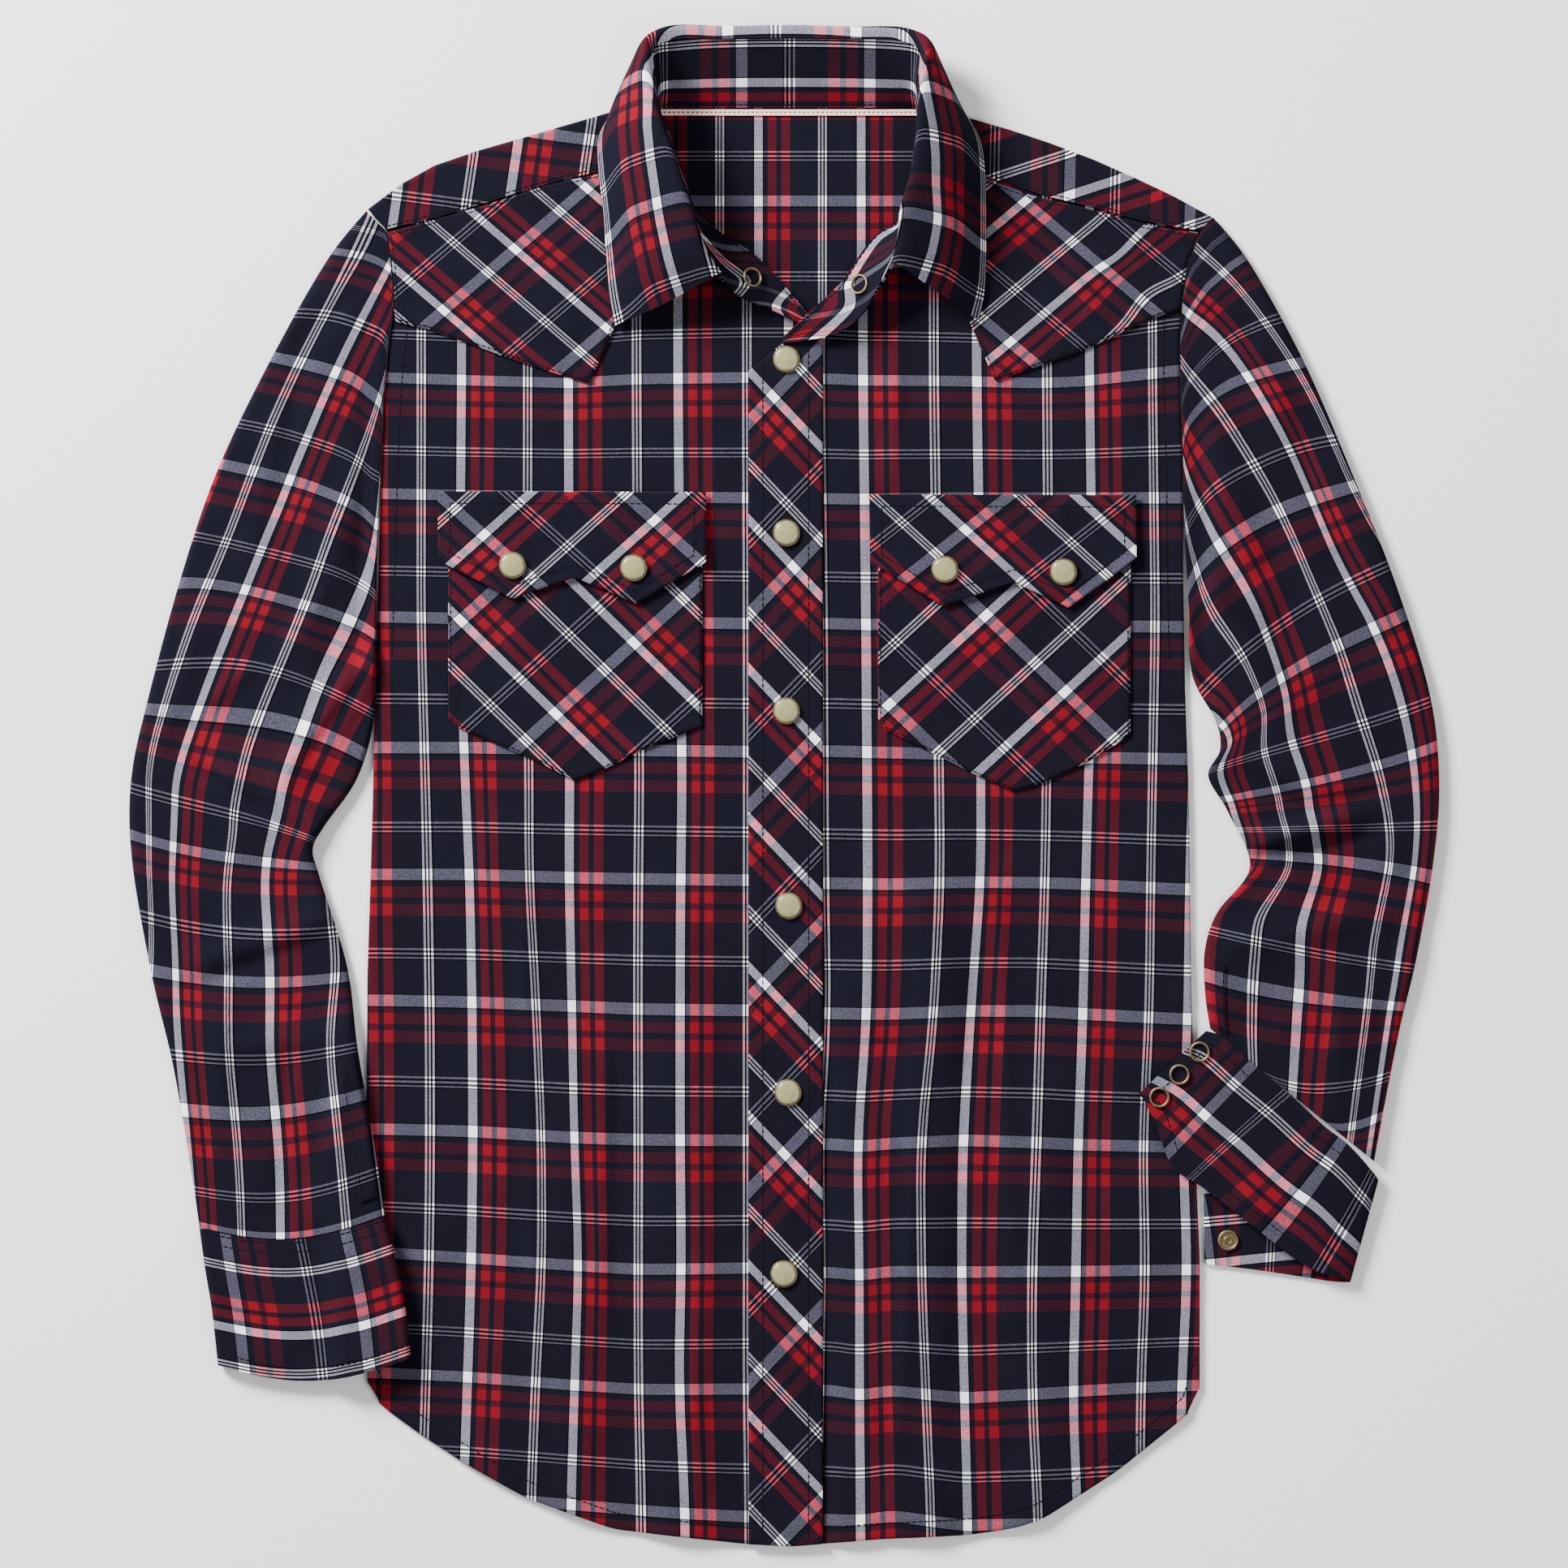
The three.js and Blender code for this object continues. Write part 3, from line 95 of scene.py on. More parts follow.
def mix(a: np.ndarray, b: np.ndarray, t: np.ndarray) -> np.ndarray:
    """Returns the value a share t of the way from a to b."""
    return a + (b - a) * t


def smooth_step(low: float, high: float, value: np.ndarray) -> np.ndarray:
    """Returns a soft rise from 0 at low to 1 at high."""
    t = np.clip((value - low) / (high - low), 0.0, 1.0)
    return t * t * (3 - 2 * t)


def unit(vectors: np.ndarray) -> np.ndarray:
    """Returns the vectors with length one."""
    return vectors / np.maximum(np.linalg.norm(vectors, axis=-1, keepdims=True), TINY)


class Rows:
    """Short table with named columns."""

    def __init__(self, names: str, *rows: Sequence[float]) -> None:
        """Keeps the rows.

        Args:
            names: column names, parted by spaces.
            rows: one sequence of numbers for each row.
        """
        self.names = names.split()
        self.data = np.array(rows, float)

    def column(self, name: str) -> np.ndarray:
        """Returns one column."""
        return self.data[:, self.names.index(name)]

    def read(self, key: str, value: np.ndarray, name: str) -> np.ndarray:
        """Reads a column where another has the given value, held at its ends."""
        keys, values = self.column(key), self.column(name)
        order = np.argsort(keys)
        return np.interp(value, keys[order], values[order])

    def linear(self, name: str, t: np.ndarray) -> np.ndarray:
        """Reads a column at a share of the way down the table, in straight steps."""
        return np.interp(t * (len(self.data) - 1), np.arange(len(self.data)), self.column(name))

    def smooth(self, name: str, t: np.ndarray) -> np.ndarray:
        """Reads a column at a share of the way down the table, along a smooth curve."""
        p = self.column(name)
        place = np.clip(t, 0, 1) * (len(p) - 1)
        i = np.minimum(len(p) - 2, place.astype(int))
        f = place - i
        before, after = p[np.maximum(0, i - 1)], p[np.minimum(len(p) - 1, i + 2)]
        return hermite(p[i], p[i + 1], (p[i + 1] - before) / 2, (after - p[i]) / 2, f)


def hermite(a: np.ndarray, b: np.ndarray, slope_a: np.ndarray, slope_b: np.ndarray,
            f: np.ndarray) -> np.ndarray:
    """Returns the cubic between a and b with the given end slopes."""
    return ((2 * f**3 - 3 * f**2 + 1) * a + (f**3 - 2 * f**2 + f) * slope_a
            + (3 * f**2 - 2 * f**3) * b + (f**3 - f**2) * slope_b)


def curve(points: np.ndarray, count: int) -> np.ndarray:
    """Returns places along a smooth curve through points, kept even between their places.

    Args:
        points: control points, with shape (n, 3).
        count: how many places to return.

    Returns:
        Points with shape (count, 3).
    """
    steps = np.linalg.norm(np.diff(points, axis=0), axis=1)
    knots = np.concatenate([[0.0], np.cumsum(np.sqrt(np.maximum(steps, 1e-6)))])
    slopes = np.gradient(points, knots, axis=0)
    places = np.interp(np.linspace(0, len(points) - 1, count), np.arange(len(points)), knots)
    i = np.clip(np.searchsorted(knots, places, side="right") - 1, 0, len(points) - 2)
    width = (knots[i + 1] - knots[i])[:, None]
    f = (places - knots[i])[:, None] / width
    return hermite(points[i], points[i + 1], slopes[i] * width, slopes[i + 1] * width, f)


def lengths(points: np.ndarray, axis: int) -> np.ndarray:
    """Returns the length walked along one axis of a grid of points."""
    steps = np.linalg.norm(np.diff(points, axis=axis), axis=-1)
    start = np.zeros_like(np.take(steps, [0], axis=axis))
    return np.concatenate([start, np.cumsum(steps, axis=axis)], axis=axis)


def close_ends(count: int, margin: float = 0.012, inner: int = 3, grade: float = 1.3) -> np.ndarray:
    """Returns shares from 0 to 1 with closer steps by both ends, where edges roll."""
    ends = margin * (np.arange(inner) / inner) ** grade
    return np.concatenate([ends, np.linspace(margin, 1 - margin, count), 1 - ends[::-1]])


# Tables whose edges are those of the CAD part
BODY_SIDES = Rows(
    "y left right", (297.4, -216.6, 224.6), (286.4, -205.6, 215.6), (268.8, -202.9, 208.7),
    (248.2, -201.6, 205.6), (226, -204.5, 204.5), (199.9, -206.8, 205), (162.1, -208.3, 206.2),
    (111.7, -209.6, 206.4), (48.7, -211.5, 207.5), (-14.3, -212.9, 209.6), (-98.3, -215.5, 210.6),
    (-182.3, -216.1, 212.5), (-245.3, -215.7, 215), (-304.1, -215.5, 215),
)
HEM = Rows(
    "x y", (-215.5, -304.1), (-212.1, -318.4), (-203.7, -325.1), (-186.9, -337.3), (-164.2, -352),
    (-133.6, -369.2), (-87.8, -385.6), (-20.6, -393.1), (3.8, -394.4), (50, -390.6), (95.8, -388.5),
    (118.9, -385.1), (134, -380.1), (172.2, -355.7), (202.9, -331), (212.9, -322.6), (215, -304.1),
)
RIGHT_FRONT_TOP = Rows(
    "x y", (-205.6, 286), (-185.2, 291.2), (-154.6, 300), (-122.2, 310.5), (-95.3, 316.4),
    (-68.5, 323), (-60.5, 320.9), (-52.9, 311.2), (-45.8, 296.1), (-30.7, 283.1), (-16.4, 274.3),
    (-4.6, 262.9), (3.8, 252.8), (12.6, 243.2), (18.5, 237.7),
)
LEFT_FRONT_TOP = Rows(
    "x y", (20.3, 249.5), (31.5, 261.2), (37.4, 270.1), (48.7, 284.3), (60.5, 292.3), (63.8, 307),
    (68.9, 319.6), (73.5, 322.6), (104.2, 313.8), (128.5, 304.9), (153.7, 299.1), (186.1, 289.8),
    (215.6, 285.2),
)
DRAPE_FOLDS = Rows(
    "x start end height width sway", (36, -60, -385, 2.6, 15, 5), (78, -20, -380, 3.4, 18, -7),
    (132, -120, -340, 2.2, 16, 4), (-58, -40, -385, 3.2, 19, 5), (-108, -110, -370, 2.4, 15, -5),
    (-150, -10, -330, 1.8, 17, 4),
)
YOKE_COLUMNS = Rows(
    "fold_x fold_y seam_x seam_y back_x back_y", (-215.4, 297.4, -205.8, 286.9, -204.9, 222),
    (-198, 310.5, -191, 290.4, -186, 219), (-181, 320, -176.8, 294, -168, 216),
    (-159, 327.6, -156, 300, -150, 213), (-136.9, 333.9, -136.9, 306.2, -128, 209),
    (-114, 340.6, -115, 312.5, -107, 205), (-92.4, 346.9, -94.1, 317.1, -87, 201),
    (-68.6, 353.4, -68.6, 323.6, -60, 196), (-40, 350.4, -40, 324, -38, 192),
    (2, 350, 2, 324, 0, 186), (44, 350.2, 44, 324, 38, 192), (72, 352.2, 72, 323, 60, 196),
    (96.2, 344.4, 100.4, 315.4, 87, 201), (117, 338.5, 119, 309.6, 107, 205),
    (137.3, 331.8, 136.1, 303.9, 128, 209), (160, 323.2, 158, 298.9, 150, 213),
    (181.4, 313.7, 180.2, 292.6, 168, 216), (201, 304.5, 198, 288.9, 186, 219),
    (221.3, 293.4, 215.9, 286.2, 204.9, 222),
)
FRONT_YOKE_RIGHT = Rows(
    "top_x top_y low_x low_y", (-205.3, 286, -201, 239), (-185, 291.2, -184, 235),
    (-154.6, 300, -160, 226.6), (-122.2, 310.5, -136, 218), (-95.3, 316.4, -116, 211.5),
    (-68.5, 323, -101.2, 207.1), (-54.5, 310, -100, 209),
)
FRONT_YOKE_LEFT = Rows(
    "top_x top_y low_x low_y", (65.8, 310, 108.4, 210), (73.5, 322.6, 109.6, 208.3),
    (104.2, 313.8, 130.2, 215.5), (128.5, 304.9, 147.8, 221.3), (153.7, 299.1, 166, 229.2),
    (186.1, 289.8, 187, 239), (215.3, 285.2, 204.6, 245.6),
)
POCKET_RIGHT = Rows(
    "top_x top_y low_x low_y", (-173.7, 150, -173.7, 34), (-167.6, 150, -167.6, 28.8),
    (-129.8, 150, -129.8, 12.6), (-108.4, 150, -108.4, 1.7), (-92, 150, -92, 8),
    (-71, 150, -71, 18.5), (-42.2, 150, -42.2, 29.8),
)
POCKET_LEFT = Rows(
    "top_x top_y low_x low_y", (48.7, 149, 48.7, 34), (52.1, 149, 52.1, 28.1),
    (76.9, 149, 76.9, 16), (98.3, 149, 98.3, 5), (118.9, 149, 118.9, -3.8),
    (134.8, 149, 134.8, 0.8), (157.1, 149, 157.1, 11.3), (179.2, 149, 179.2, 25.2),
)
FLAP_RIGHT = Rows(
    "top_x top_y low_x low_y", (-179, 152, -179, 117), (-174.7, 152, -174.7, 113.4),
    (-157, 151.9, -157, 104.4), (-140.3, 151.9, -140.3, 95.8), (-124, 151.8, -124, 101.5),
    (-108.4, 151.8, -108.4, 106.7), (-92, 151.7, -92, 100.2), (-76.9, 151.7, -76.9, 93.2),
    (-58, 151.6, -58, 104.3), (-40.4, 151.6, -40.4, 114.7),
)
FLAP_LEFT = Rows(
    "top_x top_y low_x low_y", (44.3, 150.4, 44.3, 115), (62, 150.4, 62, 104.4),
    (81.9, 150.3, 81.9, 92), (100, 150.2, 100, 98), (118.9, 150.2, 118.9, 104.2),
    (133, 150.1, 133, 97.8), (147, 150.1, 147, 91.1), (164, 150, 164, 103.2),
    (182.2, 149.9, 182.2, 116.5),
)
SLEEVE_RIGHT = Rows(
    "out_x out_y in_x in_y height bow", (-218.6, 296.5, -209.6, 157.1, 4.2, 0),
    (-237.7, 271.3, -211, 111.7, 5.4, 0), (-265, 220.9, -210.8, 69.7, 6, 0),
    (-292.3, 164.2, -212.4, 31.9, 6, 0), (-311.2, 109.6, -221, 2.5, 6, 0),
    (-328.9, 44.5, -237.7, -21.8, 6.2, 0), (-337.7, 2.5, -243.6, -33.6, 6.2, 0),
    (-337.3, -39.5, -240.2, -47.9, 6.2, 0), (-327.2, -98.3, -226, -94.1, 6, -2),
    (-316.3, -144.5, -220.5, -136.1, 6, -4), (-307.4, -194.9, -212.5, -182.3, 6, -7),
    (-302.4, -229.4, -206.6, -223.2, 6, -9),
)
SLEEVE_LEFT = Rows(
    "out_x out_y in_x in_y height bow", (225.2, 293.4, 207.6, 132.7, 4.2, 0),
    (242.8, 269.6, 209.6, 94.9, 5.4, 0), (269.2, 218.4, 211, 57.1, 6, 0),
    (295.7, 156.2, 223, 33.2, 6, 0), (317.1, 101.6, 225.5, 18, 6.4, 0),
    (333.9, 47, 219.4, 4, 6.4, 0), (338.9, 2.5, 229.7, -14.7, 6.4, 0),
    (336, -39.5, 240.9, -42.8, 6.2, 0), (327.2, -89.9, 224, -66.4, 6, 0),
    (318.8, -125.2, 217.6, -86, 6, 0), (310.8, -165.1, 217.8, -108.8, 6, 0),
    (305.2, -195.2, 220.4, -126.6, 6, 0),
)
RIGHT_SLEEVE_FOLDS = Rows(
    "x1 y1 x2 y2 height width", (-214, 62, -262, -2, 4, 9), (-240, -30, -300, 12, 3.4, 10),
    (-234, -70, -300, -92, 3, 9), (-226, 148, -248, 62, 2.4, 9), (-232, -130, -296, -138, 2.2, 8),
)
LEFT_SLEEVE_FOLDS = Rows(
    "x1 y1 x2 y2 height width", (246, -30, 298, -16, 7, 9), (226, 20, 282, -6, 4, 10),
    (218, 108, 262, 30, 3.2, 9), (224, 170, 248, 92, 2.4, 9), (232, -84, 300, -70, 2.6, 9),
)
CUFF_RIGHT = Rows(
    "out_x out_y in_x in_y height bow", (-302.4, -229.7, -206.4, -223.5, 6, -9),
    (-299.6, -250, -200.4, -246, 6.8, -9.5), (-296, -272, -196, -268, 6.8, -10),
    (-292.8, -300.6, -192.8, -296.4, 6.6, -10),
)
CUFF_LEFT = Rows(
    "top_x top_y top_z low_x low_y low_z", (218.2, -127.6, 6.4, 183.8, -159.8, 4.6),
    (227, -131, 7.4, 191.6, -174.3, 4.6), (242.4, -144.6, 7.8, 200.8, -197.5, 4.8),
    (263, -161.8, 7.8, 217, -209, 6), (279, -176.6, 7.6, 243, -229, 6.6),
    (291, -185.8, 7.2, 262, -244, 6.8), (301, -196.5, 6.4, 277, -252.4, 6.4),
    (306.6, -205, 3.9, 292, -257, 3.9), (299, -207, 0.9, 284, -257.4, 0.9),
    (272, -208, 0.9, 262, -254, 0.9), (244, -210, 0.9, 238, -250.6, 0.9),
    (217, -212, 0.9, 217.6, -248.4, 0.9),
)
STAND_SEAM = Rows(
    "x y z", (12.6, 243.2, 3.9), (-4.6, 262.9, 3.9), (-16.4, 274.3, 3.9), (-30.7, 283.1, 3.9),
    (-45.8, 296.1, 3.9), (-51.7, 311.2, 3.9), (-57.1, 326, 3.7), (-61, 338.6, 3.4),
    (-65.4, 345.4, 2.8), (-64.4, 349.6, 2.6), (-57, 350.6, 2.4), (-46, 350.2, 2.4),
    (-26, 350.2, 2.4), (2, 350.2, 2.4), (30, 350.2, 2.4), (52, 350.2, 2.4), (62, 350.6, 2.4),
    (68.6, 349.6, 2.6), (69.6, 342, 3), (68.2, 330.1, 3.7), (66, 315.4, 3.9), (62.4, 302.8, 3.9),
    (59.6, 290, 3.9), (48.7, 284.3, 4.2), (37.4, 270.1, 4.8), (31.5, 261.2, 5.4), (21.4, 251.2, 6),
    (9.7, 241.1, 6.1), (-0.4, 231, 6.1),
)
STAND_TOP = Rows(
    "x y z", (7.1, 238.6, 3.9), (-8.8, 246.1, 7), (-22.7, 252, 15), (-34, 262.5, 19.4),
    (-42, 275.1, 23), (-48.7, 295.7, 27), (-53.4, 311.3, 29), (-58, 328, 30), (-63.4, 343.6, 30),
    (-67, 364.6, 27), (-66.8, 379.6, 22), (-57, 383.8, 18.6), (-30, 384.4, 17), (2, 384.8, 16.6),
    (34, 384.4, 17), (60, 383.4, 18.6), (69.4, 378.8, 22), (69.8, 363.8, 27), (69, 343, 30),
    (67.6, 326, 30), (65, 310, 30), (60.4, 295.3, 28), (59.4, 281.4, 25), (56.3, 268.8, 22.6),
    (48.7, 255.8, 19), (41.6, 244, 14), (29.8, 233.9, 9), (14.3, 229.7, 6.6), (-0.8, 228, 6.1),
)
LEAF_ON_STAND = slice(3, 24)  # rows of the stand's top that the leaf grows from
LEAF_FOLD = Rows(
    "x y z", (-33.2, 263.4, 24), (-41, 276, 27.6), (-48.4, 297, 31), (-54, 313, 33), (-60, 330, 34),
    (-66, 344.6, 33.6), (-70.6, 366, 30), (-71.4, 383, 25), (-60.6, 390, 19.6), (-30, 390.4, 16.4),
    (2, 391, 16), (34, 390.2, 16.4), (64, 389, 19.6), (74, 382.6, 25), (72.2, 366, 30),
    (70, 344.6, 33.6), (68.6, 328, 34), (65.6, 312, 34), (61, 296.4, 32), (59.6, 282, 29.4),
    (56.7, 269, 27),
)
LEAF_BELLY = Rows(
    "x y z", (-62, 248, 16), (-69, 262, 20), (-75, 284, 23), (-79, 304, 25), (-82, 324, 25),
    (-86, 342, 22), (-83.4, 360, 17), (-77, 372, 12), (-65, 378, 8), (-30, 374, 5.4), (2, 374, 5),
    (34, 374, 5.4), (69, 378, 8), (80, 372, 12), (85, 360, 17), (90, 341, 22), (90, 324, 25),
    (88, 306, 25), (86, 287, 24), (83, 270, 21), (79, 254, 18),
)
LEAF_EDGE = Rows(
    "x y z", (-87.4, 236.9, 5.6), (-90, 252.8, 5.8), (-91.6, 274.3, 6), (-93, 296.1, 6.2),
    (-95.4, 317, 6.2), (-95.2, 334, 6.2), (-89, 345, 6), (-77, 357, 6), (-62, 356.6, 1.8),
    (-30, 353, 0.9), (2, 353, 0.9), (34, 353, 0.9), (67, 356.6, 1.8), (82, 357, 6),
    (92.4, 346.4, 6), (101, 332, 6.2), (103.4, 315.4, 6.2), (104, 294.4, 6.2), (104, 270, 6),
    (103.2, 253, 5.8), (100.6, 240, 5.6),
)

# Where the stripes of each front show: the height, then the place of each upright stripe
RIGHT_UPRIGHTS = np.array([
    (209.6, -187.6, -166.9, -132.6, -111.7, -76.3, -55.0, -19.2),
    (83.2, -187.7, -168.0, -132.7, -111.3, -75.6, -53.8, -18.9),
    (2.5, -185.6, -165.1, -132.0, -111.0, -74.8, -52.7, -18.9),
    (-47.5, -184.4, -162.6, -132.0, -111.4, -75.4, -53.5, -18.9),
    (-115.1, -183.3, -161.3, -128.1, -110.0, -75.6, -53.8, -18.9),
    (-182.3, -183.0, -161.0, -125.2, -108.8, -75.4, -53.8, -18.9),
    (-247.4, -183.6, -161.9, -125.0, -106.3, -75.6, -53.1, -18.9),
    (-308.3, -185.2, -163.8, -128.4, -108.3, -75.4, -54.6, -18.9),
    (-377.6, -187.3, -166.3, -131.0, -110.5, -73.9, -51.0, -18.1),
])
LEFT_UPRIGHTS = np.array([
    (209.6, 40.7, 77.5, 99.5, 136.0, 158.0, 190.5, 211.7),
    (83.2, 42.3, 79.4, 101.6, 136.9, 159.8, 191.9, 213.8),
    (-47.9, 43.2, 80.8, 101.8, 135.0, 156.0, 189.7, 209.6),
    (-117.2, 42.8, 77.7, 96.3, 132.7, 154.6, 189.0, 208.7),
    (-186.9, 37.8, 70.4, 92.2, 130.6, 152.0, 185.6, 206.2),
    (-253.3, 38.9, 71.0, 91.6, 128.1, 150.9, 186.9, 208.5),
    (-317.5, 38.9, 73.5, 93.1, 128.3, 149.2, 184.4, 205.2),
    (-383.9, 39.5, 76.3, 94.8, 131.9, 152.0, 184.4, 205.4),
])
# The same for the level stripes: the places across, then the height of each stripe at them
RIGHT_LEVEL_AT = (-206.6, -162.1, -109.6, -76.4, -21.4)
RIGHT_LEVELS = np.array([
    (210.4, 208.9, 207.5, 209.6, 210.4), (150.4, 149.5, 149.1, 148.7, 148.3),
    (86.7, 85.7, 84.6, 84.0, 83.2), (19.0, 18.9, 18.1, 17.6, 16.9),
    (-46.6, -46.6, -48.3, -48.9, -49.6), (-111.7, -112.6, -114.7, -116.2, -116.9),
    (-178.4, -179.5, -182.7, -183.8, -184.2), (-242.3, -245.2, -248.8, -251.0, -250.3),
    (-304.5, -306.6, -310.6, -312.9, -312.7), (-366.2, -368.3, -372.5, -375.4, -378.8),
])
LEFT_LEVEL_AT = (25.2, 38.6, 56.7, 92.8, 129.8, 152.9, 205.4)
LEFT_LEVELS = np.array([
    (209.7, 208.9, 208.9, 208.5, 207.5, 208.3, 214.2),
    (147.8, 147.5, 147.8, 148.3, 148.3, 148.3, 148.3), (83.2, 82.7, 82.7, 82.3, 82.3, 81.9, 81.5),
    (17.2, 16.8, 16.4, 15.5, 14.3, 13.9, 13.0), (-51.2, -51.5, -51.7, -50.6, -50.8, -51.5, -54.4),
    (-118.4, -118.7, -118.7, -117.2, -117.2, -118.7, -121.4),
    (-186.1, -187.3, -185.6, -184.1, -185.2, -186.5, -187.7),
    (-252.6, -254.0, -251.8, -252.4, -252.0, -252.0, -251.2),
    (-313.3, -315.8, -313.3, -317.5, -315.2, -313.7, -310.8),
    (-380.4, -380.8, -378.2, -383.3, -382.6, -381.8, -378.0),
])
LEVEL_VALUES = WEFT_WHITE + WEFT_REPEAT * np.arange(10)
LEFT_VALUES = (2.95, 39.5, 61.35, 97.9, 119.75, 156.3, 178.15)
RIGHT_VALUES = (-18.9, 2.95, 39.5, 61.35, 97.9, 119.75, 156.3)

# The same for the sleeves: station, then the share across of five stripes, outer edge first
RIGHT_SLEEVE_STRIPES = np.array([
    (0, 0.02, 0.18, 0.62, 1.0, 1.6), (0.1, 0.08, 0.25, 0.60, 0.92, 1.5),
    (0.2, 0.13, 0.31, 0.57, 0.80, 1.3), (0.3, 0.15, 0.29, 0.54, 0.70, 1.15),
    (0.4, 0.10, 0.26, 0.51, 0.71, 1.1), (0.5, 0.08, 0.23, 0.56, 0.79, 1.15),
    (0.6, 0.12, 0.25, 0.57, 0.76, 1.1), (0.7, 0.05, 0.15, 0.42, 0.63, 0.97),
    (0.8, -0.15, 0.05, 0.315, 0.54, 0.86), (0.9, -0.15, 0, 0.27, 0.495, 0.82),
    (1, -0.15, -0.03, 0.22, 0.43, 0.795),
])
RIGHT_SLEEVE_VALUES = (-18.9, 2.95, 39.5, 61.35, 97.9)
LEFT_SLEEVE_STRIPES = np.array([
    (0, 0.10, 0.30, 0.47, 0.8, 0.95), (0.1, 0.07, 0.22, 0.40, 0.72, 0.87),
    (0.2, 0.03, 0.21, 0.36, 0.63, 0.79), (0.3, 0.02, 0.22, 0.36, 0.65, 0.77),
    (0.4, -0.1, 0.14, 0.33, 0.64, 0.75), (0.5, -0.12, 0.12, 0.29, 0.61, 0.74),
    (0.6, -0.13, 0.11, 0.24, 0.65, 0.78), (0.7, -0.14, 0.10, 0.23, 0.61, 0.81),
    (0.8, -0.17, 0.07, 0.17, 0.52, 0.75), (0.9, -0.19, 0.05, 0.15, 0.50, 0.74),
    (1, -0.2, 0.04, 0.14, 0.5, 0.74),
])
LEFT_SLEEVE_VALUES = (97.9, 61.35, 39.5, 2.95, -18.9)
# Station of each level stripe of the sleeves, at the outer and inner edge, and its sag between them
RIGHT_SLEEVE_LEVELS = np.array([
    (0.08, -0.31, 0.012), (0.182, -0.07, 0.012), (0.27, 0.05, 0.012), (0.372, 0.165, 0.012),
    (0.463, 0.32, 0.012), (0.61, 0.62, 0.008), (0.723, 0.738, 0.004), (0.86, 0.865, 0),
    (0.992, 0.992, 0),
])
LEFT_SLEEVE_LEVELS = np.array([
    (0.083, -0.15, 0.010), (0.182, -0.08, 0.012), (0.275, 0.075, 0.014), (0.385, 0.30, 0.012),
    (0.508, 0.52, 0.006), (0.652, 0.61, 0), (0.792, 0.865, 0), (0.925, 1.2, 0),
])


# How waves spread in size, and where along itself a straight fold fades in and out
WAVE_SCALES = (0.6, 1.6)
FOLD_START = (-0.25, 0.2)
FOLD_END = (1.25, 0.7)
# How the folds of the fronts start, sway and fade towards the side seams and the placket
DRAPE_FADE = 45.0
DRAPE_TURN = 2.6
DRAPE_SIDES = (196.0, 168.0)
FRONT_WAVES = ((3, 42.0, 0.28), (5, 17.0, 0.07))
PLACKET_LEFT = -18.3
PLACKET_RIGHT = 20.0
PLACKET_FADE = 10.0
# Gap that pieces on the body keep from its side seams
SIDE_GAP = 0.3


def piecewise(value: np.ndarray, places: Sequence[np.ndarray],
              results: Sequence[float]) -> np.ndarray:
    """Reads a rising table whose places differ from point to point, going on at its ends.

    Args:
        value: where each point is.
        places: one array of places for each entry, rising from entry to entry.
        results: the value at each entry.

    Returns:
        The value at each point.
    """
    out = None
    for k in range(len(places) - 1):
        low, high = places[k], places[k + 1]
        part = results[k] + (value - low) / (high - low) * (results[k + 1] - results[k])
        out = part if out is None else np.where(value >= low, part, out)
    return out


def soft_read(value: np.ndarray, known: np.ndarray, result: np.ndarray, reach: float,
              samples: int = 7) -> np.ndarray:
    """Reads a table with its corners rounded over a reach."""
    order = np.argsort(known)
    k, r = np.asarray(known)[order], np.asarray(result)[order]
    offsets = np.linspace(-reach, reach, samples)
    return sum(np.interp(value + o, k, r) for o in offsets) / len(offsets)


def waves(x: np.ndarray, y: np.ndarray, seed: int, size: float, height: float,
          count: int = 9) -> np.ndarray:
    """Returns a gentle unevenness of the cloth.

    Args:
        x: places across.
        y: places along.
        seed: picks the pattern.
        size: usual distance from crest to crest.
        height: usual rise.
        count: how many waves cross.

    Returns:
        The rise at each place.
    """
    random = np.random.default_rng(seed)
    angles = random.uniform(0, math.pi, count)
    scales = random.uniform(*WAVE_SCALES, count)
    phases = random.uniform(0, 2 * math.pi, count)
    total = 0.0
    for angle, scale, phase in zip(angles, scales, phases):
        turn = 2 * math.pi / (size * scale)
        total = total + np.sin((x * math.cos(angle) + y * math.sin(angle)) * turn + phase)
    return height * total / math.sqrt(count)


def ridges(folds: Rows, x: np.ndarray, y: np.ndarray) -> np.ndarray:
    """Returns the rise of straight folds, each a soft ridge that fades at its ends."""
    total = 0.0
    for x1, y1, x2, y2, height, width in folds.data:
        length = math.hypot(x2 - x1, y2 - y1)
        dx, dy = (x2 - x1) / length, (y2 - y1) / length
        along = ((x - x1) * dx + (y - y1) * dy) / length
        beside = (x - x1) * dy - (y - y1) * dx
        ends = smooth_step(*FOLD_START, along) * smooth_step(*FOLD_END, along)
        total = total + height * ends * np.exp(-((beside / width) ** 2))
    return total


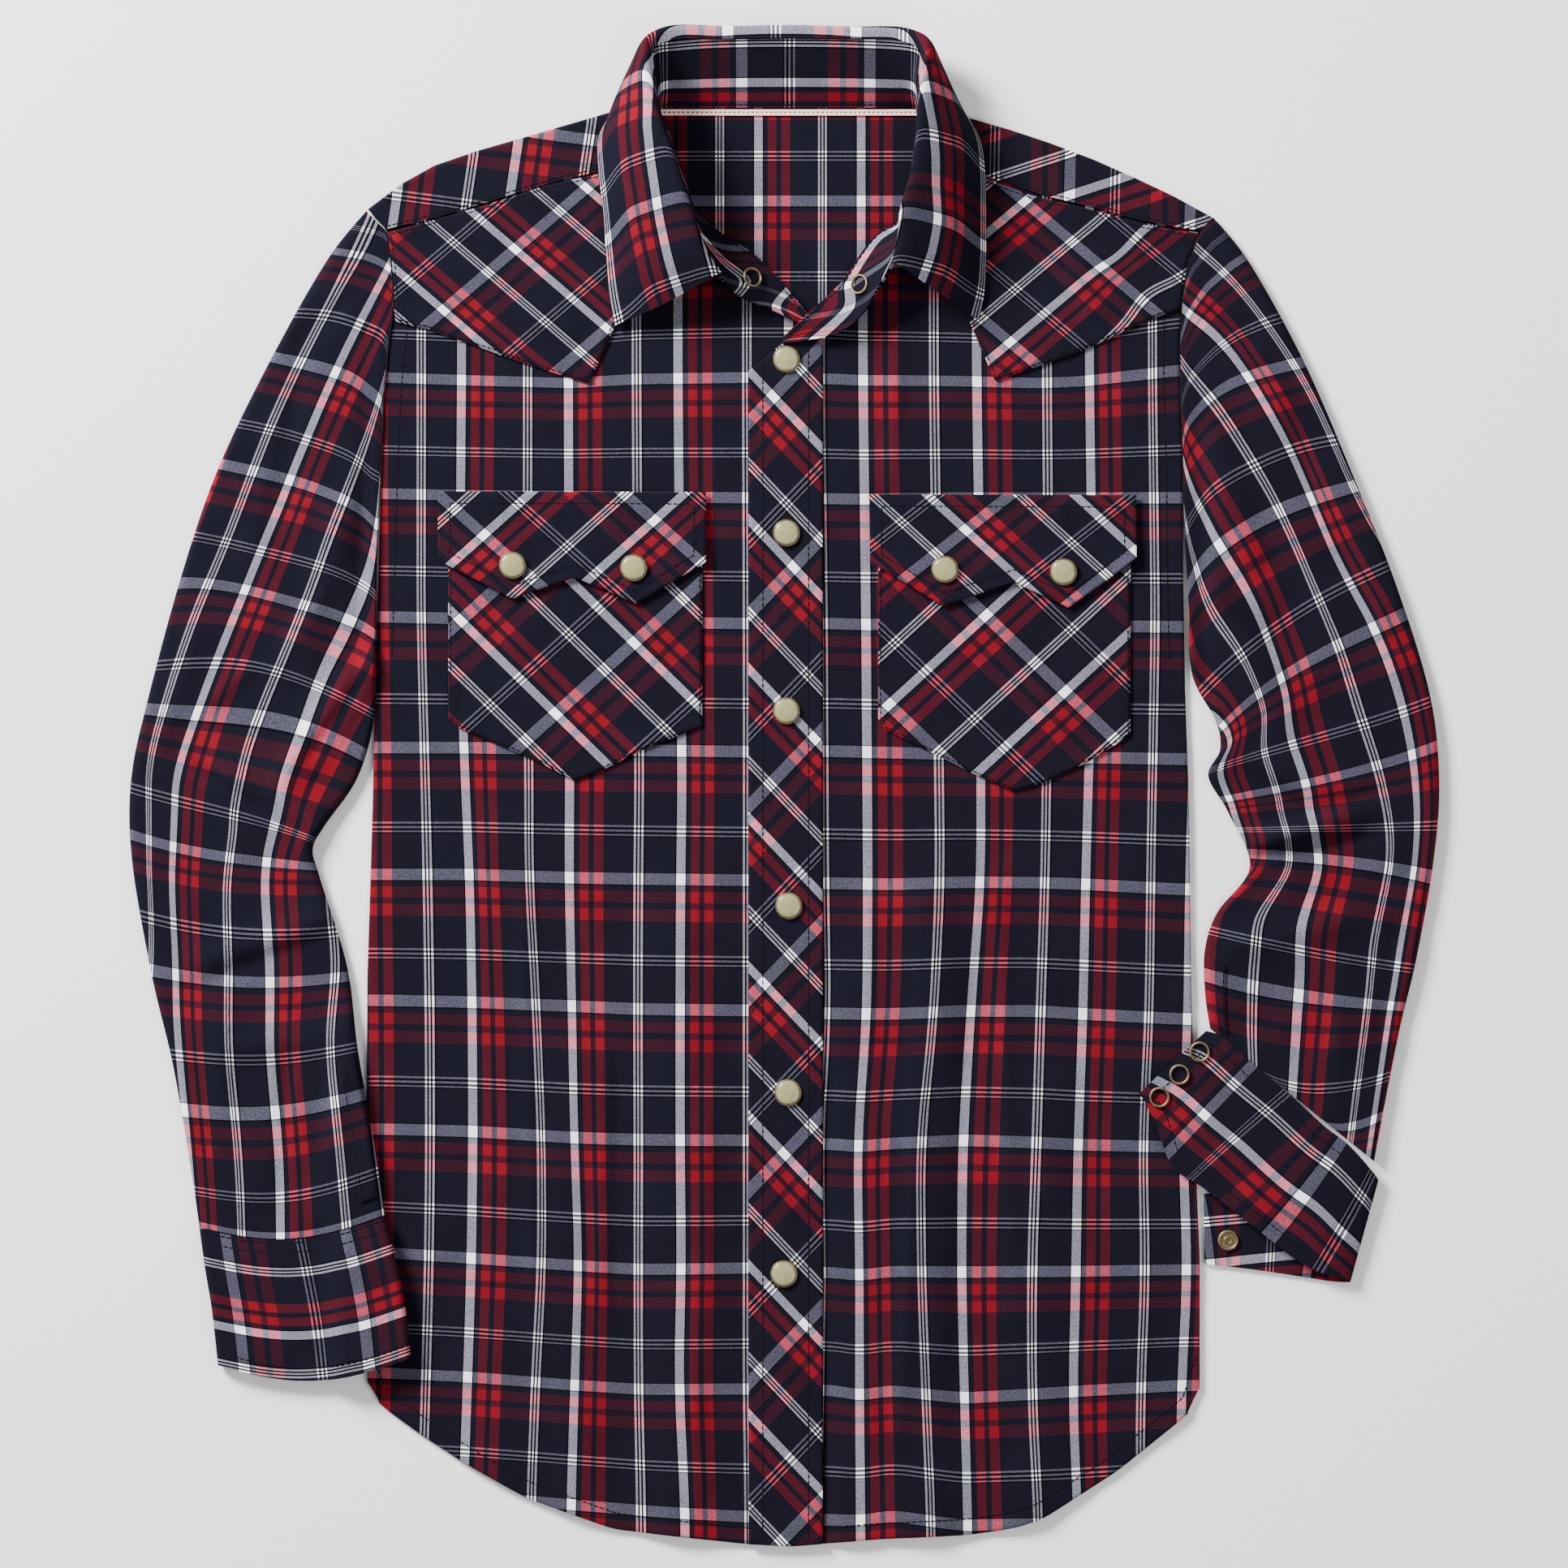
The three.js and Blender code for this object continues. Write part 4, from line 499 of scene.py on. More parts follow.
# Finer creases that only the cloth shows, each from one place to another
FRONT_CREASES = Rows(
    "x1 y1 x2 y2 height width", (70, -150, 58, -360, 1.4, 5), (96, -120, 88, -330, -1.2, 6),
    (112, -60, 120, -300, 1, 5), (150, -30, 160, -190, -0.9, 7), (184, 60, 190, -120, 0.9, 6),
    (-84, -80, -78, -360, -1.2, 6), (-92, -140, -96, -300, 1.2, 5), (-134, -60, -128, -320, 1.4, 5),
    (-172, 0, -166, -260, -0.9, 7), (-40, -160, -46, -380, 1, 5), (-168, 250, -120, 180, 0.8, 6),
    (150, 262, 190, 180, 0.8, 6), (60, 240, 56, 160, 0.9, 5), (-52, 250, -46, 170, 0.8, 6),
    (-190, -200, -182, -330, 0.9, 6), (192, -180, 186, -320, 0.9, 6), (40, -20, 44, -120, 0.8, 5),
)
RIGHT_SLEEVE_CREASES = Rows(
    "x1 y1 x2 y2 height width", (-213, 236, -221, 64, -1.8, 5), (-226, 250, -252, 226, -1.2, 5),
    (-220, 52, -250, 8, -2.4, 4), (-250, -24, -318, 16, -1.8, 5), (-236, -78, -306, -104, -1.8, 5),
    (-262, 190, -276, 120, 1.2, 6), (-246, 236, -256, 180, -1, 5), (-300, 90, -322, 20, 1.2, 6),
    (-228, -150, -240, -215, 1.4, 5), (-256, -140, -262, -222, -1.2, 5),
    (-292, -110, -290, -200, 1.2, 6), (-276, 60, -300, 40, 1.5, 5), (-240, 96, -262, 60, 1.4, 5),
)
LEFT_SLEEVE_CREASES = Rows(
    "x1 y1 x2 y2 height width", (212, 232, 218, 66, -1.8, 5), (236, 244, 256, 214, -1.1, 5),
    (240, -38, 300, -26, -2.9, 4), (252, -20, 310, -4, -1.8, 4), (230, 12, 276, -18, -1.6, 4),
    (300, 120, 322, 40, 1, 6), (262, 196, 280, 130, -1, 6), (244, 236, 262, 190, 1, 5),
    (228, -78, 262, -96, 1.3, 5), (290, -90, 284, -170, 1.2, 6), (316, -70, 306, -150, -0.9, 5),
    (256, 70, 300, 40, 1.2, 6),
)


def side_left(y: np.ndarray) -> np.ndarray:
    """Returns where the body ends on the viewer's left."""
    return BODY_SIDES.read("y", y, "left")


def side_right(y: np.ndarray) -> np.ndarray:
    """Returns where the body ends on the viewer's right."""
    return BODY_SIDES.read("y", y, "right")


def drape(x: np.ndarray, y: np.ndarray) -> np.ndarray:
    """Returns the rise of the fronts above where they would lie flat, creases and all."""
    rise = 0.0
    for line_x, start, end, height, width, sway in DRAPE_FOLDS.data:
        line = line_x + sway * np.sin((start - y) / (start - end) * DRAPE_TURN)
        fade = smooth_step(start, start - DRAPE_FADE, y)
        rise = rise + height * fade * np.exp(-(((x - line) / width) ** 2))
    rise = rise + ridges(FRONT_CREASES, x, y)
    rise = rise * smooth_step(*DRAPE_SIDES, np.abs(x))
    for seed, size, height in FRONT_WAVES:
        rise = rise + waves(x, y, seed, size, height)
    outside = np.maximum(PLACKET_LEFT - x, x - PLACKET_RIGHT)
    return np.maximum(0.0, rise) * smooth_step(0, PLACKET_FADE, outside)


def gradients(grid: np.ndarray) -> np.ndarray:
    """Returns the upward direction square to a grid of points, at each of them."""
    across = np.gradient(grid, axis=1)
    down = np.gradient(grid, axis=0)
    return unit(np.cross(down, across))


def edge_distance(grid: np.ndarray, sides: Sequence[Side]) -> np.ndarray:
    """Returns how far each point of a grid is from the nearest of some edges, along the grid."""
    down, across = lengths(grid, 0), lengths(grid, 1)
    reach = {
        Side.FIRST_ROW: down, Side.LAST_ROW: down[-1:] - down,
        Side.FIRST_COLUMN: across, Side.LAST_COLUMN: across[:, -1:] - across,
    }
    return np.minimum.reduce([reach[side] for side in sides])


def rolled(grid: np.ndarray, sides: Sequence[Side], depth: float = 0.5,
           reach: float = 1.5) -> np.ndarray:
    """Returns a grid whose edges turn down, as a turned and pressed edge does.

    Args:
        grid: upper face of a piece.
        sides: edges that turn down.
        depth: how far down.
        reach: how wide the turn is.

    Returns:
        The changed grid.
    """
    near = np.clip(1 - edge_distance(grid, sides) / reach, 0, 1)
    out = grid.copy()
    out[..., 2] -= depth * near**2
    return out


ALL_SIDES = tuple(Side)


@dataclass(frozen=True)
class Grain:
    """How the check lies on a straight piece: a white crossing and the run of both yarns."""

    origin: tuple[float, float]
    warp: tuple[float, float]
    weft: tuple[float, float]
    warp_scale: float = 1.0
    weft_scale: float = 1.0

    def places(self, x: np.ndarray, y: np.ndarray) -> np.ndarray:
        """Returns the cloth coordinates of each place, with shape (…, 2)."""
        across, along = np.array(self.warp), np.array(self.weft)
        basis = np.array([across / np.linalg.norm(across) * self.warp_scale,
                          along / np.linalg.norm(along) * self.weft_scale]).T
        offset = np.stack([x - self.origin[0], y - self.origin[1]], -1)
        found = offset @ np.linalg.inv(basis).T
        return found + np.array([WARP_WHITE, WEFT_WHITE])


@dataclass(frozen=True)
class Stripes:
    """How the check lies on a front, read from where its stripes show."""

    uprights: np.ndarray
    upright_values: Sequence[float]
    level_at: Sequence[float]
    levels: np.ndarray
    upright_reach: float = 22.0
    level_reach: float = 6.0

    def places(self, x: np.ndarray, y: np.ndarray) -> np.ndarray:
        """Returns the cloth coordinates of each place, with shape (…, 2)."""
        columns = [soft_read(y, self.uprights[:, 0], self.uprights[:, k + 1], self.upright_reach)
                   for k in range(len(self.upright_values))]
        rows = [-soft_read(x, np.array(self.level_at), level, self.level_reach)
                for level in self.levels]
        u = piecewise(x, columns, self.upright_values)
        v = piecewise(-y, rows, LEVEL_VALUES)
        return np.stack([u, v], -1)


@dataclass(frozen=True)
class Pull:
    """Place where a crease draws the check aside."""

    x: float
    y: float
    radius: float
    u: float
    v: float = 0.0

    def shift(self, x: np.ndarray, y: np.ndarray) -> np.ndarray:
        """Returns the change of the cloth coordinates at each place, with shape (…, 2)."""
        near = np.exp(-((x - self.x) ** 2 + (y - self.y) ** 2) / self.radius**2)
        return np.stack([near * self.u, near * self.v], -1)


class Shell:
    """Closed thin wall of cloth between two faces, each a grid of points."""

    def __init__(self, upper: np.ndarray, lower: np.ndarray, weave: np.ndarray,
                 exists: np.ndarray | None = None, ringed: bool = False) -> None:
        """Takes the faces.

        Args:
            upper: outer face, with shape (rows, columns, 3), in millimetres.
            lower: inner face, of the same shape.
            weave: cloth coordinates, with one more column where the grid is a ring.
            exists: which cells of the grid there are, or all.
            ringed: whether the last column joins the first.
        """
        self.upper, self.lower, self.weave, self.ringed = upper, lower, weave, ringed
        rows, columns = upper.shape[:2]
        cells = (rows - 1, columns if ringed else columns - 1)
        self.exists = np.ones(cells, bool) if exists is None else exists

    @classmethod
    def on_underside(cls, grid: np.ndarray, thickness: float, weave: np.ndarray,
                     sides: Sequence[Side] = ALL_SIDES) -> "Shell":
        """Returns a wall that rises straight up from a grid, with its edges turned down."""
        upper = grid + np.array([0, 0, thickness])
        return cls(rolled(upper, sides), grid, weave)

    @classmethod
    def about_middle(cls, grid: np.ndarray, thickness: float, weave: np.ndarray,
                     exists: np.ndarray | None = None) -> "Shell":
        """Returns a wall of even thickness about a grid of middle points."""
        square = gradients(grid) * thickness / 2
        faces = [grid + square, grid - square]
        for face in faces:
            face[..., 2] = np.maximum(0.0, face[..., 2])
        return cls(faces[0], faces[1], weave, exists)

    def quads(self) -> tuple[np.ndarray, np.ndarray]:
        """Works out the wall's quads.

        Returns:
            Point numbers and cloth coordinates of each quad's corners.
        """
        rows, columns = self.upper.shape[:2]
        r, c = np.nonzero(self.exists)
        padded = np.pad(self.exists, 1)
        if self.ringed:
            padded[1:-1, 0], padded[1:-1, -1] = self.exists[:, -1], self.exists[:, 0]
        corners, weave = [], []

        def add(mask: np.ndarray, plan: Sequence[tuple[int, int, int]]) -> None:
            """Adds one quad for each chosen cell, from (face, row step, column step) corners."""
            corners.append(np.stack([
                f * rows * columns + (r[mask] + i) * columns + (c[mask] + j) % columns
                for f, i, j in plan], -1))
            weave.append(np.stack([self.weave[r[mask] + i, c[mask] + j] for _, i, j in plan], 1))

        every = np.ones(len(r), bool)
        add(every, ((0, 0, 0), (0, 1, 0), (0, 1, 1), (0, 0, 1)))
        add(every, ((1, 0, 0), (1, 0, 1), (1, 1, 1), (1, 1, 0)))
        add(~padded[r, c + 1], ((0, 0, 0), (0, 0, 1), (1, 0, 1), (1, 0, 0)))
        add(~padded[r + 2, c + 1], ((0, 1, 0), (1, 1, 0), (1, 1, 1), (0, 1, 1)))
        add(~padded[r + 1, c], ((0, 0, 0), (1, 0, 0), (1, 1, 0), (0, 1, 0)))
        add(~padded[r + 1, c + 2], ((0, 0, 1), (0, 1, 1), (1, 1, 1), (1, 0, 1)))
        return np.concatenate(corners), np.concatenate(weave)

    def build(self, name: str) -> bpy.types.Object:
        """Makes the mesh object, its faces pointing out."""
        points = np.concatenate([self.upper.reshape(-1, 3), self.lower.reshape(-1, 3)]) * MM
        corners, weave = self.quads()
        return solid(name, points, corners, weave)


def solid(name: str, points: np.ndarray, corners: np.ndarray, weave: np.ndarray,
          sharp: float = 50.0) -> bpy.types.Object:
    """Makes a closed mesh of quads.

    Args:
        name: object name.
        points: places in metres.
        corners: point numbers of each quad.
        weave: texture coordinates of each quad's corners, in millimetres.
        sharp: smallest angle in degrees that shows as an edge.

    Returns:
        The object, linked to the scene.
    """
    a, b, c, d = (points[corners[:, k]] for k in range(4))
    halves = [np.einsum("ij,ij->i", a, np.cross(*pair)) for pair in ((b, c), (c, d))]
    volume = (halves[0] + halves[1]).sum()
    if volume < 0:
        corners, weave = corners[:, ::-1], weave[:, ::-1]
    used, numbers = np.unique(corners, return_inverse=True)
    mesh = bpy.data.meshes.new(name)
    mesh.from_pydata(points[used].tolist(), [], numbers.reshape(corners.shape).tolist())
    layer = mesh.uv_layers.new(name="Cloth")
    layer.data.foreach_set("uv", (weave * MM).astype(np.float32).ravel())
    mesh.shade_smooth()
    mesh.set_sharp_from_angle(angle=math.radians(sharp))
    thing = bpy.data.objects.new(name, mesh)
    bpy.context.scene.collection.objects.link(thing)
    return thing


def inset(grid: np.ndarray, side: Side, distance: float, look: int = 8,
          least: float = 0.2) -> np.ndarray:
    """Finds the line that keeps a distance inside one edge of a grid.

    Args:
        grid: upper face of a piece, in millimetres.
        side: the edge to follow.
        distance: how far inside the edge.
        look: how many rows in the way inward is read.
        least: bound on how slanted that way counts.

    Returns:
        Points and upward directions along the line, with shape (n, 2, 3).
    """
    both = np.stack([grid, gradients(grid)], 2)
    turned = {
        Side.FIRST_ROW: both, Side.LAST_ROW: both[::-1],
        Side.FIRST_COLUMN: both.swapaxes(0, 1), Side.LAST_COLUMN: both.swapaxes(0, 1)[::-1],
    }[side]
    places = turned[:, :, 0]
    walk = lengths(places, 0)
    edge = unit(np.gradient(places[0], axis=0))
    inward = unit(places[min(look, len(places) - 1)] - places[0])
    cosine = np.einsum("ij,ij->i", edge, inward)
    want = distance / np.sqrt(np.clip(1 - cosine**2, least, 1))
    line = np.array([
        [np.interp(want[j], walk[:, j], values) for values in turned[:, j].reshape(len(walk), 6).T]
        for j in range(places.shape[1])
    ])
    return line.reshape(-1, 2, 3)


# Stitch bar: the place along it and the size of each ring, then the place of each ring's corners
BAR_RINGS = ((-0.5, 0.45), (0.0, 1.0), (0.5, 0.45))
BAR_CORNERS = ((-0.5, -0.3), (0.5, -0.3), (0.32, 0.7), (-0.32, 0.7))


@dataclass
class Thread:
    """Rows of stitches, collected and made into one mesh."""

    name: str
    pitch: float = 3.2
    length: float = 2.7
    width: float = 0.8
    height: float = 0.34
    step: float = 0.8
    centres: list[np.ndarray] = field(default_factory=list)
    frames: list[np.ndarray] = field(default_factory=list)

    def follow(self, grid: np.ndarray, sides: Sequence[Side], distance: float,
               trim: float = 1.0) -> None:
        """Adds a row of stitches inside each of some edges.

        Args:
            grid: upper face of the piece.
            sides: the edges.
            distance: how far inside them.
            trim: length left bare at both ends.
        """
        for side in sides:
            self.run(inset(grid, side, distance), trim)

    def run(self, line: np.ndarray, trim: float = 1.0) -> None:
        """Adds a row of stitches.

        Args:
            line: points and upward directions, with shape (n, 2, 3).
            trim: length left bare at both ends.
        """
        walk = lengths(line[:, 0], 0)
        places = np.arange(trim + self.pitch / 2, walk[-1] - trim - self.pitch / 2, self.pitch)
        if len(places) < 1:
            return

        def read(at: np.ndarray, which: int) -> np.ndarray:
            """Reads the line's points or directions at lengths along it."""
            return np.stack([np.interp(at, walk, line[:, which, k]) for k in range(3)], -1)

        centre, up = read(places, 0), unit(read(places, 1))
        ahead = unit(read(places + self.step, 0) - read(places - self.step, 0))
        beside = unit(np.cross(up, ahead))
        self.centres.append(centre)
        self.frames.append(np.stack([ahead, beside, np.cross(ahead, beside)], 1))

    def build(self) -> bpy.types.Object:
        """Makes the mesh of all stitches, each a short rounded bar."""
        centre, axes = np.concatenate(self.centres), np.concatenate(self.frames)
        local = np.array([
            (along * self.length, across * size * self.width, up * size * self.height)
            for along, size in BAR_RINGS for across, up in BAR_CORNERS])
        points = centre[:, None] + np.einsum("pk,nkj->npj", local, axes)
        n = len(BAR_CORNERS)
        plan = [(n * s + k, n * s + (k + 1) % n, n * (s + 1) + (k + 1) % n, n * (s + 1) + k)
                for s in range(len(BAR_RINGS) - 1) for k in range(n)]
        last = len(local) - n
        plan += [tuple(range(n))[::-1], tuple(range(last, last + n))]
        quads = np.array(plan)[None] + len(local) * np.arange(len(centre))[:, None, None]
        corners = quads.reshape(-1, 4)
        return solid(self.name, points.reshape(-1, 3) * MM, corners, np.zeros((len(corners), 4, 2)))


class Wire:
    """Number in a shader, whose arithmetic adds math nodes."""

    def __init__(self, tree: bpy.types.NodeTree, socket: bpy.types.NodeSocket) -> None:
        """Wraps an output socket."""
        self.tree, self.socket = tree, socket

    def math(self, operation: str, *others: "Wire | float") -> "Wire":
        """Adds a math node.

        Args:
            operation: its operation.
            others: what follows this number as inputs.

        Returns:
            The result.
        """
        node = self.tree.nodes.new("ShaderNodeMath")
        node.operation = operation
        for place, value in zip(node.inputs, (self, *others)):
            plug(self.tree, place, value)
        return Wire(self.tree, node.outputs[0])

    def __add__(self, other: "Wire | float") -> "Wire":
        """Returns the sum."""
        return self.math("ADD", other)

    def __sub__(self, other: "Wire | float") -> "Wire":
        """Returns the difference."""
        return self.math("SUBTRACT", other)

    def __mul__(self, other: "Wire | float") -> "Wire":
        """Returns the product."""
        return self.math("MULTIPLY", other)

    def __truediv__(self, other: "Wire | float") -> "Wire":
        """Returns the quotient."""
        return self.math("DIVIDE", other)

    def __lt__(self, other: "Wire | float") -> "Wire":
        """Returns 1 where this number is smaller."""
        return self.math("LESS_THAN", other)


def plug(tree: bpy.types.NodeTree, place: bpy.types.NodeSocket, value: object) -> None:
    """Links an output to an input, or sets the input to a plain value."""
    source = value.socket if isinstance(value, Wire) else value
    if isinstance(source, bpy.types.NodeSocket):
        tree.links.new(source, place)
    else:
        place.default_value = source


class Shader:
    """Material with one Principled shader, and helpers to feed it."""

    def __init__(self, name: str, **constants: float | Sequence[float]) -> None:
        """Makes the material.

        Args:
            name: its name.
            constants: values for the shader's own sockets, spaces written as underscores.
        """
        self.material = bpy.data.materials.new(name)
        self.material.use_nodes = True
        self.tree = self.material.node_tree
        self.surface = self.tree.nodes["Principled BSDF"]
        for socket, value in constants.items():
            self.surface.inputs[socket.replace("_", " ")].default_value = value

    def node(self, kind: str, settings: dict[str, object] | None = None,
             **inputs: object) -> bpy.types.Node:
        """Adds a node.

        Args:
            kind: its type, without the common first word.
            settings: its properties, set before its inputs.
            inputs: its inputs by name, spaces written as underscores.

        Returns:
            The node.
        """
        node = self.tree.nodes.new(f"ShaderNode{kind}")
        for key, value in (settings or {}).items():
            setattr(node, key, value)
        for key, value in inputs.items():
            plug(self.tree, node.inputs[key.replace("_", " ")], value)
        return node

    def feed(self, socket: str, value: Wire | bpy.types.NodeSocket) -> None:
        """Links a value to one of the shader's sockets."""
        plug(self.tree, self.surface.inputs[socket], value)

    def cloth_places(self) -> tuple[bpy.types.NodeSocket, Wire, Wire]:
        """Returns the cloth coordinates, whole and as two numbers in metres."""
        places = self.node("UVMap", {"uv_map": "Cloth"}).outputs["UV"]
        parts = self.node("SeparateXYZ", Vector=places)
        return places, Wire(self.tree, parts.outputs["X"]), Wire(self.tree, parts.outputs["Y"])

    def blend(self, factor: Wire | float, a: object, b: object) -> bpy.types.NodeSocket:
        """Returns a mix of two colours."""
        node = self.node("Mix", {"data_type": "RGBA"})
        for index, value in ((0, factor), (6, a), (7, b)):
            plug(self.tree, node.inputs[index], value)
        return node.outputs[2]

    def noise(self, places: bpy.types.NodeSocket, scale: float, detail: float = 3.0) -> Wire:
        """Returns a cloudy number between 0 and 1."""
        node = self.node("TexNoise", None, Scale=scale, Detail=detail, Vector=places)
        return Wire(self.tree, node.outputs[0])

    def bump(self, height: Wire, distance: float, strength: float) -> bpy.types.NodeSocket:
        """Returns a normal raised by a height between 0 and 1."""
        return self.node("Bump", None, Height=height, Distance=distance,
                         Strength=strength).outputs["Normal"]


@dataclass(frozen=True)
class CheckCloth:
    """Woven check: warp stripes crossed by weft ones, each yarn seen through the other."""

    name: str
    softness: float = 0.0007
    weft_share: float = 0.39
    weave_share: float = 0.08
    slub_share: float = 0.3
    slub_scale: float = 900.0
    slub_detail: float = 1.0
    thread_gap: float = 0.62
    thread_rise: float = 0.1
    crease_scale: float = 70.0
    bump_strength: float = 0.6
    # Darker clouds towards the shade colour: partly uneven tone, partly painted shade of folds
    cloud_scale: float = 45.0
    cloud_detail: float = 2.0
    cloud_from: float = 0.35
    cloud_depth: float = 0.5
    shade: Colour = (0.002, 0.002, 0.003, 1)
    roughness: float = 0.92
    gloss: float = 0.03

    @staticmethod
    def stripes(shader: Shader, place: Wire,
                bands: Sequence[tuple[Yarn, float]]) -> bpy.types.NodeSocket:
        """Returns the colour of one set of yarns.

        Args:
            shader: material being made.
            place: cloth coordinate in metres.
            bands: colour and width of each stripe.

        Returns:
            The colour at the place.
        """
        repeat = sum(width for _, width in bands)
        share = (place / (repeat * MM)).math("FRACT")
        ramp = shader.node("ValToRGB", None, Fac=share)
        ramp.color_ramp.interpolation = "CONSTANT"
        steps = ramp.color_ramp.elements
        start = 0.0
        for index, (yarn, width) in enumerate(bands):
            step = steps[index] if index < 1 else steps.new(start / repeat)
            step.position, step.color = start / repeat, yarn.value
            start += width
        steps.remove(steps[len(bands)])
        return ramp.outputs["Color"]

    def material(self) -> bpy.types.Material:
        """Makes the material."""
        shader = Shader(self.name, Roughness=self.roughness, Specular_IOR_Level=self.gloss)
        places, u, v = shader.cloth_places()
        turn = 2 * math.pi / (self.thread_gap * MM)
        weave = (u * turn).math("SINE") * (v * turn).math("SINE")
        slub = shader.noise(places, self.slub_scale, self.slub_detail)
        share = weave * self.weave_share + (slub - 0.5) * self.slub_share + self.weft_share
        colour = shader.blend(share, self.stripes(shader, u, WARP_BANDS),
                              self.stripes(shader, v, WEFT_BANDS))
        seen = shader.node("Gamma", None, Color=colour, Gamma=YARN_POWER).outputs[0]
        # Darker clouds: partly uneven tone of the cloth, partly painted shade of soft folds
        noise = shader.noise(places, self.cloud_scale, self.cloud_detail)
        cloud = (noise - self.cloud_from) * self.cloud_depth
        shader.feed("Base Color", shader.blend(cloud, seen, self.shade))
        crease = shader.noise(places, self.crease_scale) * (self.softness / MM)
        height = crease + (weave * 0.5 + slub) * self.thread_rise
        shader.feed("Normal", shader.bump(height, MM, self.bump_strength))
        return shader.material


@dataclass(frozen=True)
class TapeFinish:
    """Cream tape with a dotted red line along its middle."""

    name: str
    width: float = 3.1
    line_half: float = 0.5
    dot: float = 2.4
    dot_share: float = 0.6
    rib: float = 0.5
    rib_rise: float = 0.1
    rib_strength: float = 0.4
    cream: Colour = (0.80, 0.74, 0.62, 1)
    red: Colour = (0.45, 0.04, 0.05, 1)
    roughness: float = 0.85

    def material(self) -> bpy.types.Material:
        """Makes the material."""
        shader = Shader(self.name, Roughness=self.roughness)
        _, u, v = shader.cloth_places()
        line = (v - self.width / 2 * MM).math("ABSOLUTE") < self.line_half * MM
        dots = (u / (self.dot * MM)).math("FRACT") < self.dot_share
        shader.feed("Base Color", shader.blend(line * dots, self.cream, self.red))
        ribs = (u * (2 * math.pi / (self.rib * MM))).math("SINE")
        shader.feed("Normal", shader.bump(ribs, self.rib_rise * MM, self.rib_strength))
        return shader.material


@dataclass(frozen=True)
class PearlFinish:
    """Clouded cream pearl with a fine darker line near its edge."""

    name: str
    cloud_scale: float = 420.0
    cloud_from: float = 0.3
    cloud_depth: float = 1.6
    dark: Colour = (0.23, 0.215, 0.10, 1)
    pale: Colour = (0.33, 0.305, 0.155, 1)
    line: float = 5.75
    line_half: float = 0.16
    line_depth: float = 0.7
    line_colour: Colour = (0.10, 0.09, 0.04, 1)
    roughness: float = 0.22
    coat: float = 0.5
    coat_roughness: float = 0.1

    def material(self) -> bpy.types.Material:
        """Makes the material."""
        shader = Shader(self.name, Roughness=self.roughness, Coat_Weight=self.coat,
                        Coat_Roughness=self.coat_roughness)
        _, _, radius = shader.cloth_places()
        noise = shader.noise(shader.node("TexCoord").outputs["Object"], self.cloud_scale)
        cloud = (noise - self.cloud_from) * self.cloud_depth
        edge = (radius - self.line * MM).math("ABSOLUTE") < self.line_half * MM
        base = shader.blend(cloud, self.dark, self.pale)
        shader.feed("Base Color", shader.blend(edge * self.line_depth, base, self.line_colour))
        return shader.material


@dataclass(frozen=True)
class BrassFinish:
    """Antique brass, brushed and dulled."""

    name: str
    cloud_scale: float = 600.0
    dark: Colour = (0.09, 0.065, 0.035, 1)
    pale: Colour = (0.30, 0.22, 0.12, 1)
    metallic: float = 0.9
    smoothest: float = 0.3
    unevenness: float = 0.3

    def material(self) -> bpy.types.Material:
        """Makes the material."""
        shader = Shader(self.name, Metallic=self.metallic)
        cloud = shader.noise(shader.node("TexCoord").outputs["Object"], self.cloud_scale)
        shader.feed("Base Color", shader.blend(cloud, self.dark, self.pale))
        shader.feed("Roughness", cloud * self.unevenness + self.smoothest)
        return shader.material


@dataclass(frozen=True)
class PlainFinish:
    """One plain colour."""

    name: str
    colour: Colour
    roughness: float
    gloss: float = 0.1

    def material(self) -> bpy.types.Material:
        """Makes the material."""
        return Shader(self.name, Base_Color=self.colour, Roughness=self.roughness,
                      Specular_IOR_Level=self.gloss).material


class Held(Enum):
    """How a sheet of cloth is held."""

    LAID = "laid"
    FOLDED = "folded"


class Slot(Enum):
    """Material slots of the record."""

    CHECK = "check_cloth"
    BIAS = "bias_check"
    INTERLINED = "interlined_check"
    TAPE = "neck_tape"
    METAL = "snap_metal"
    PEARL = "snap_pearl"


@dataclass(frozen=True)
class Cut:
    """Slot of a cloth piece, its flat cut in metres, and what it lies on."""

    slot: Slot
    width: float
    length: float
    area: float
    rests_on: tuple[str, ...]
    held: Held = Held.LAID


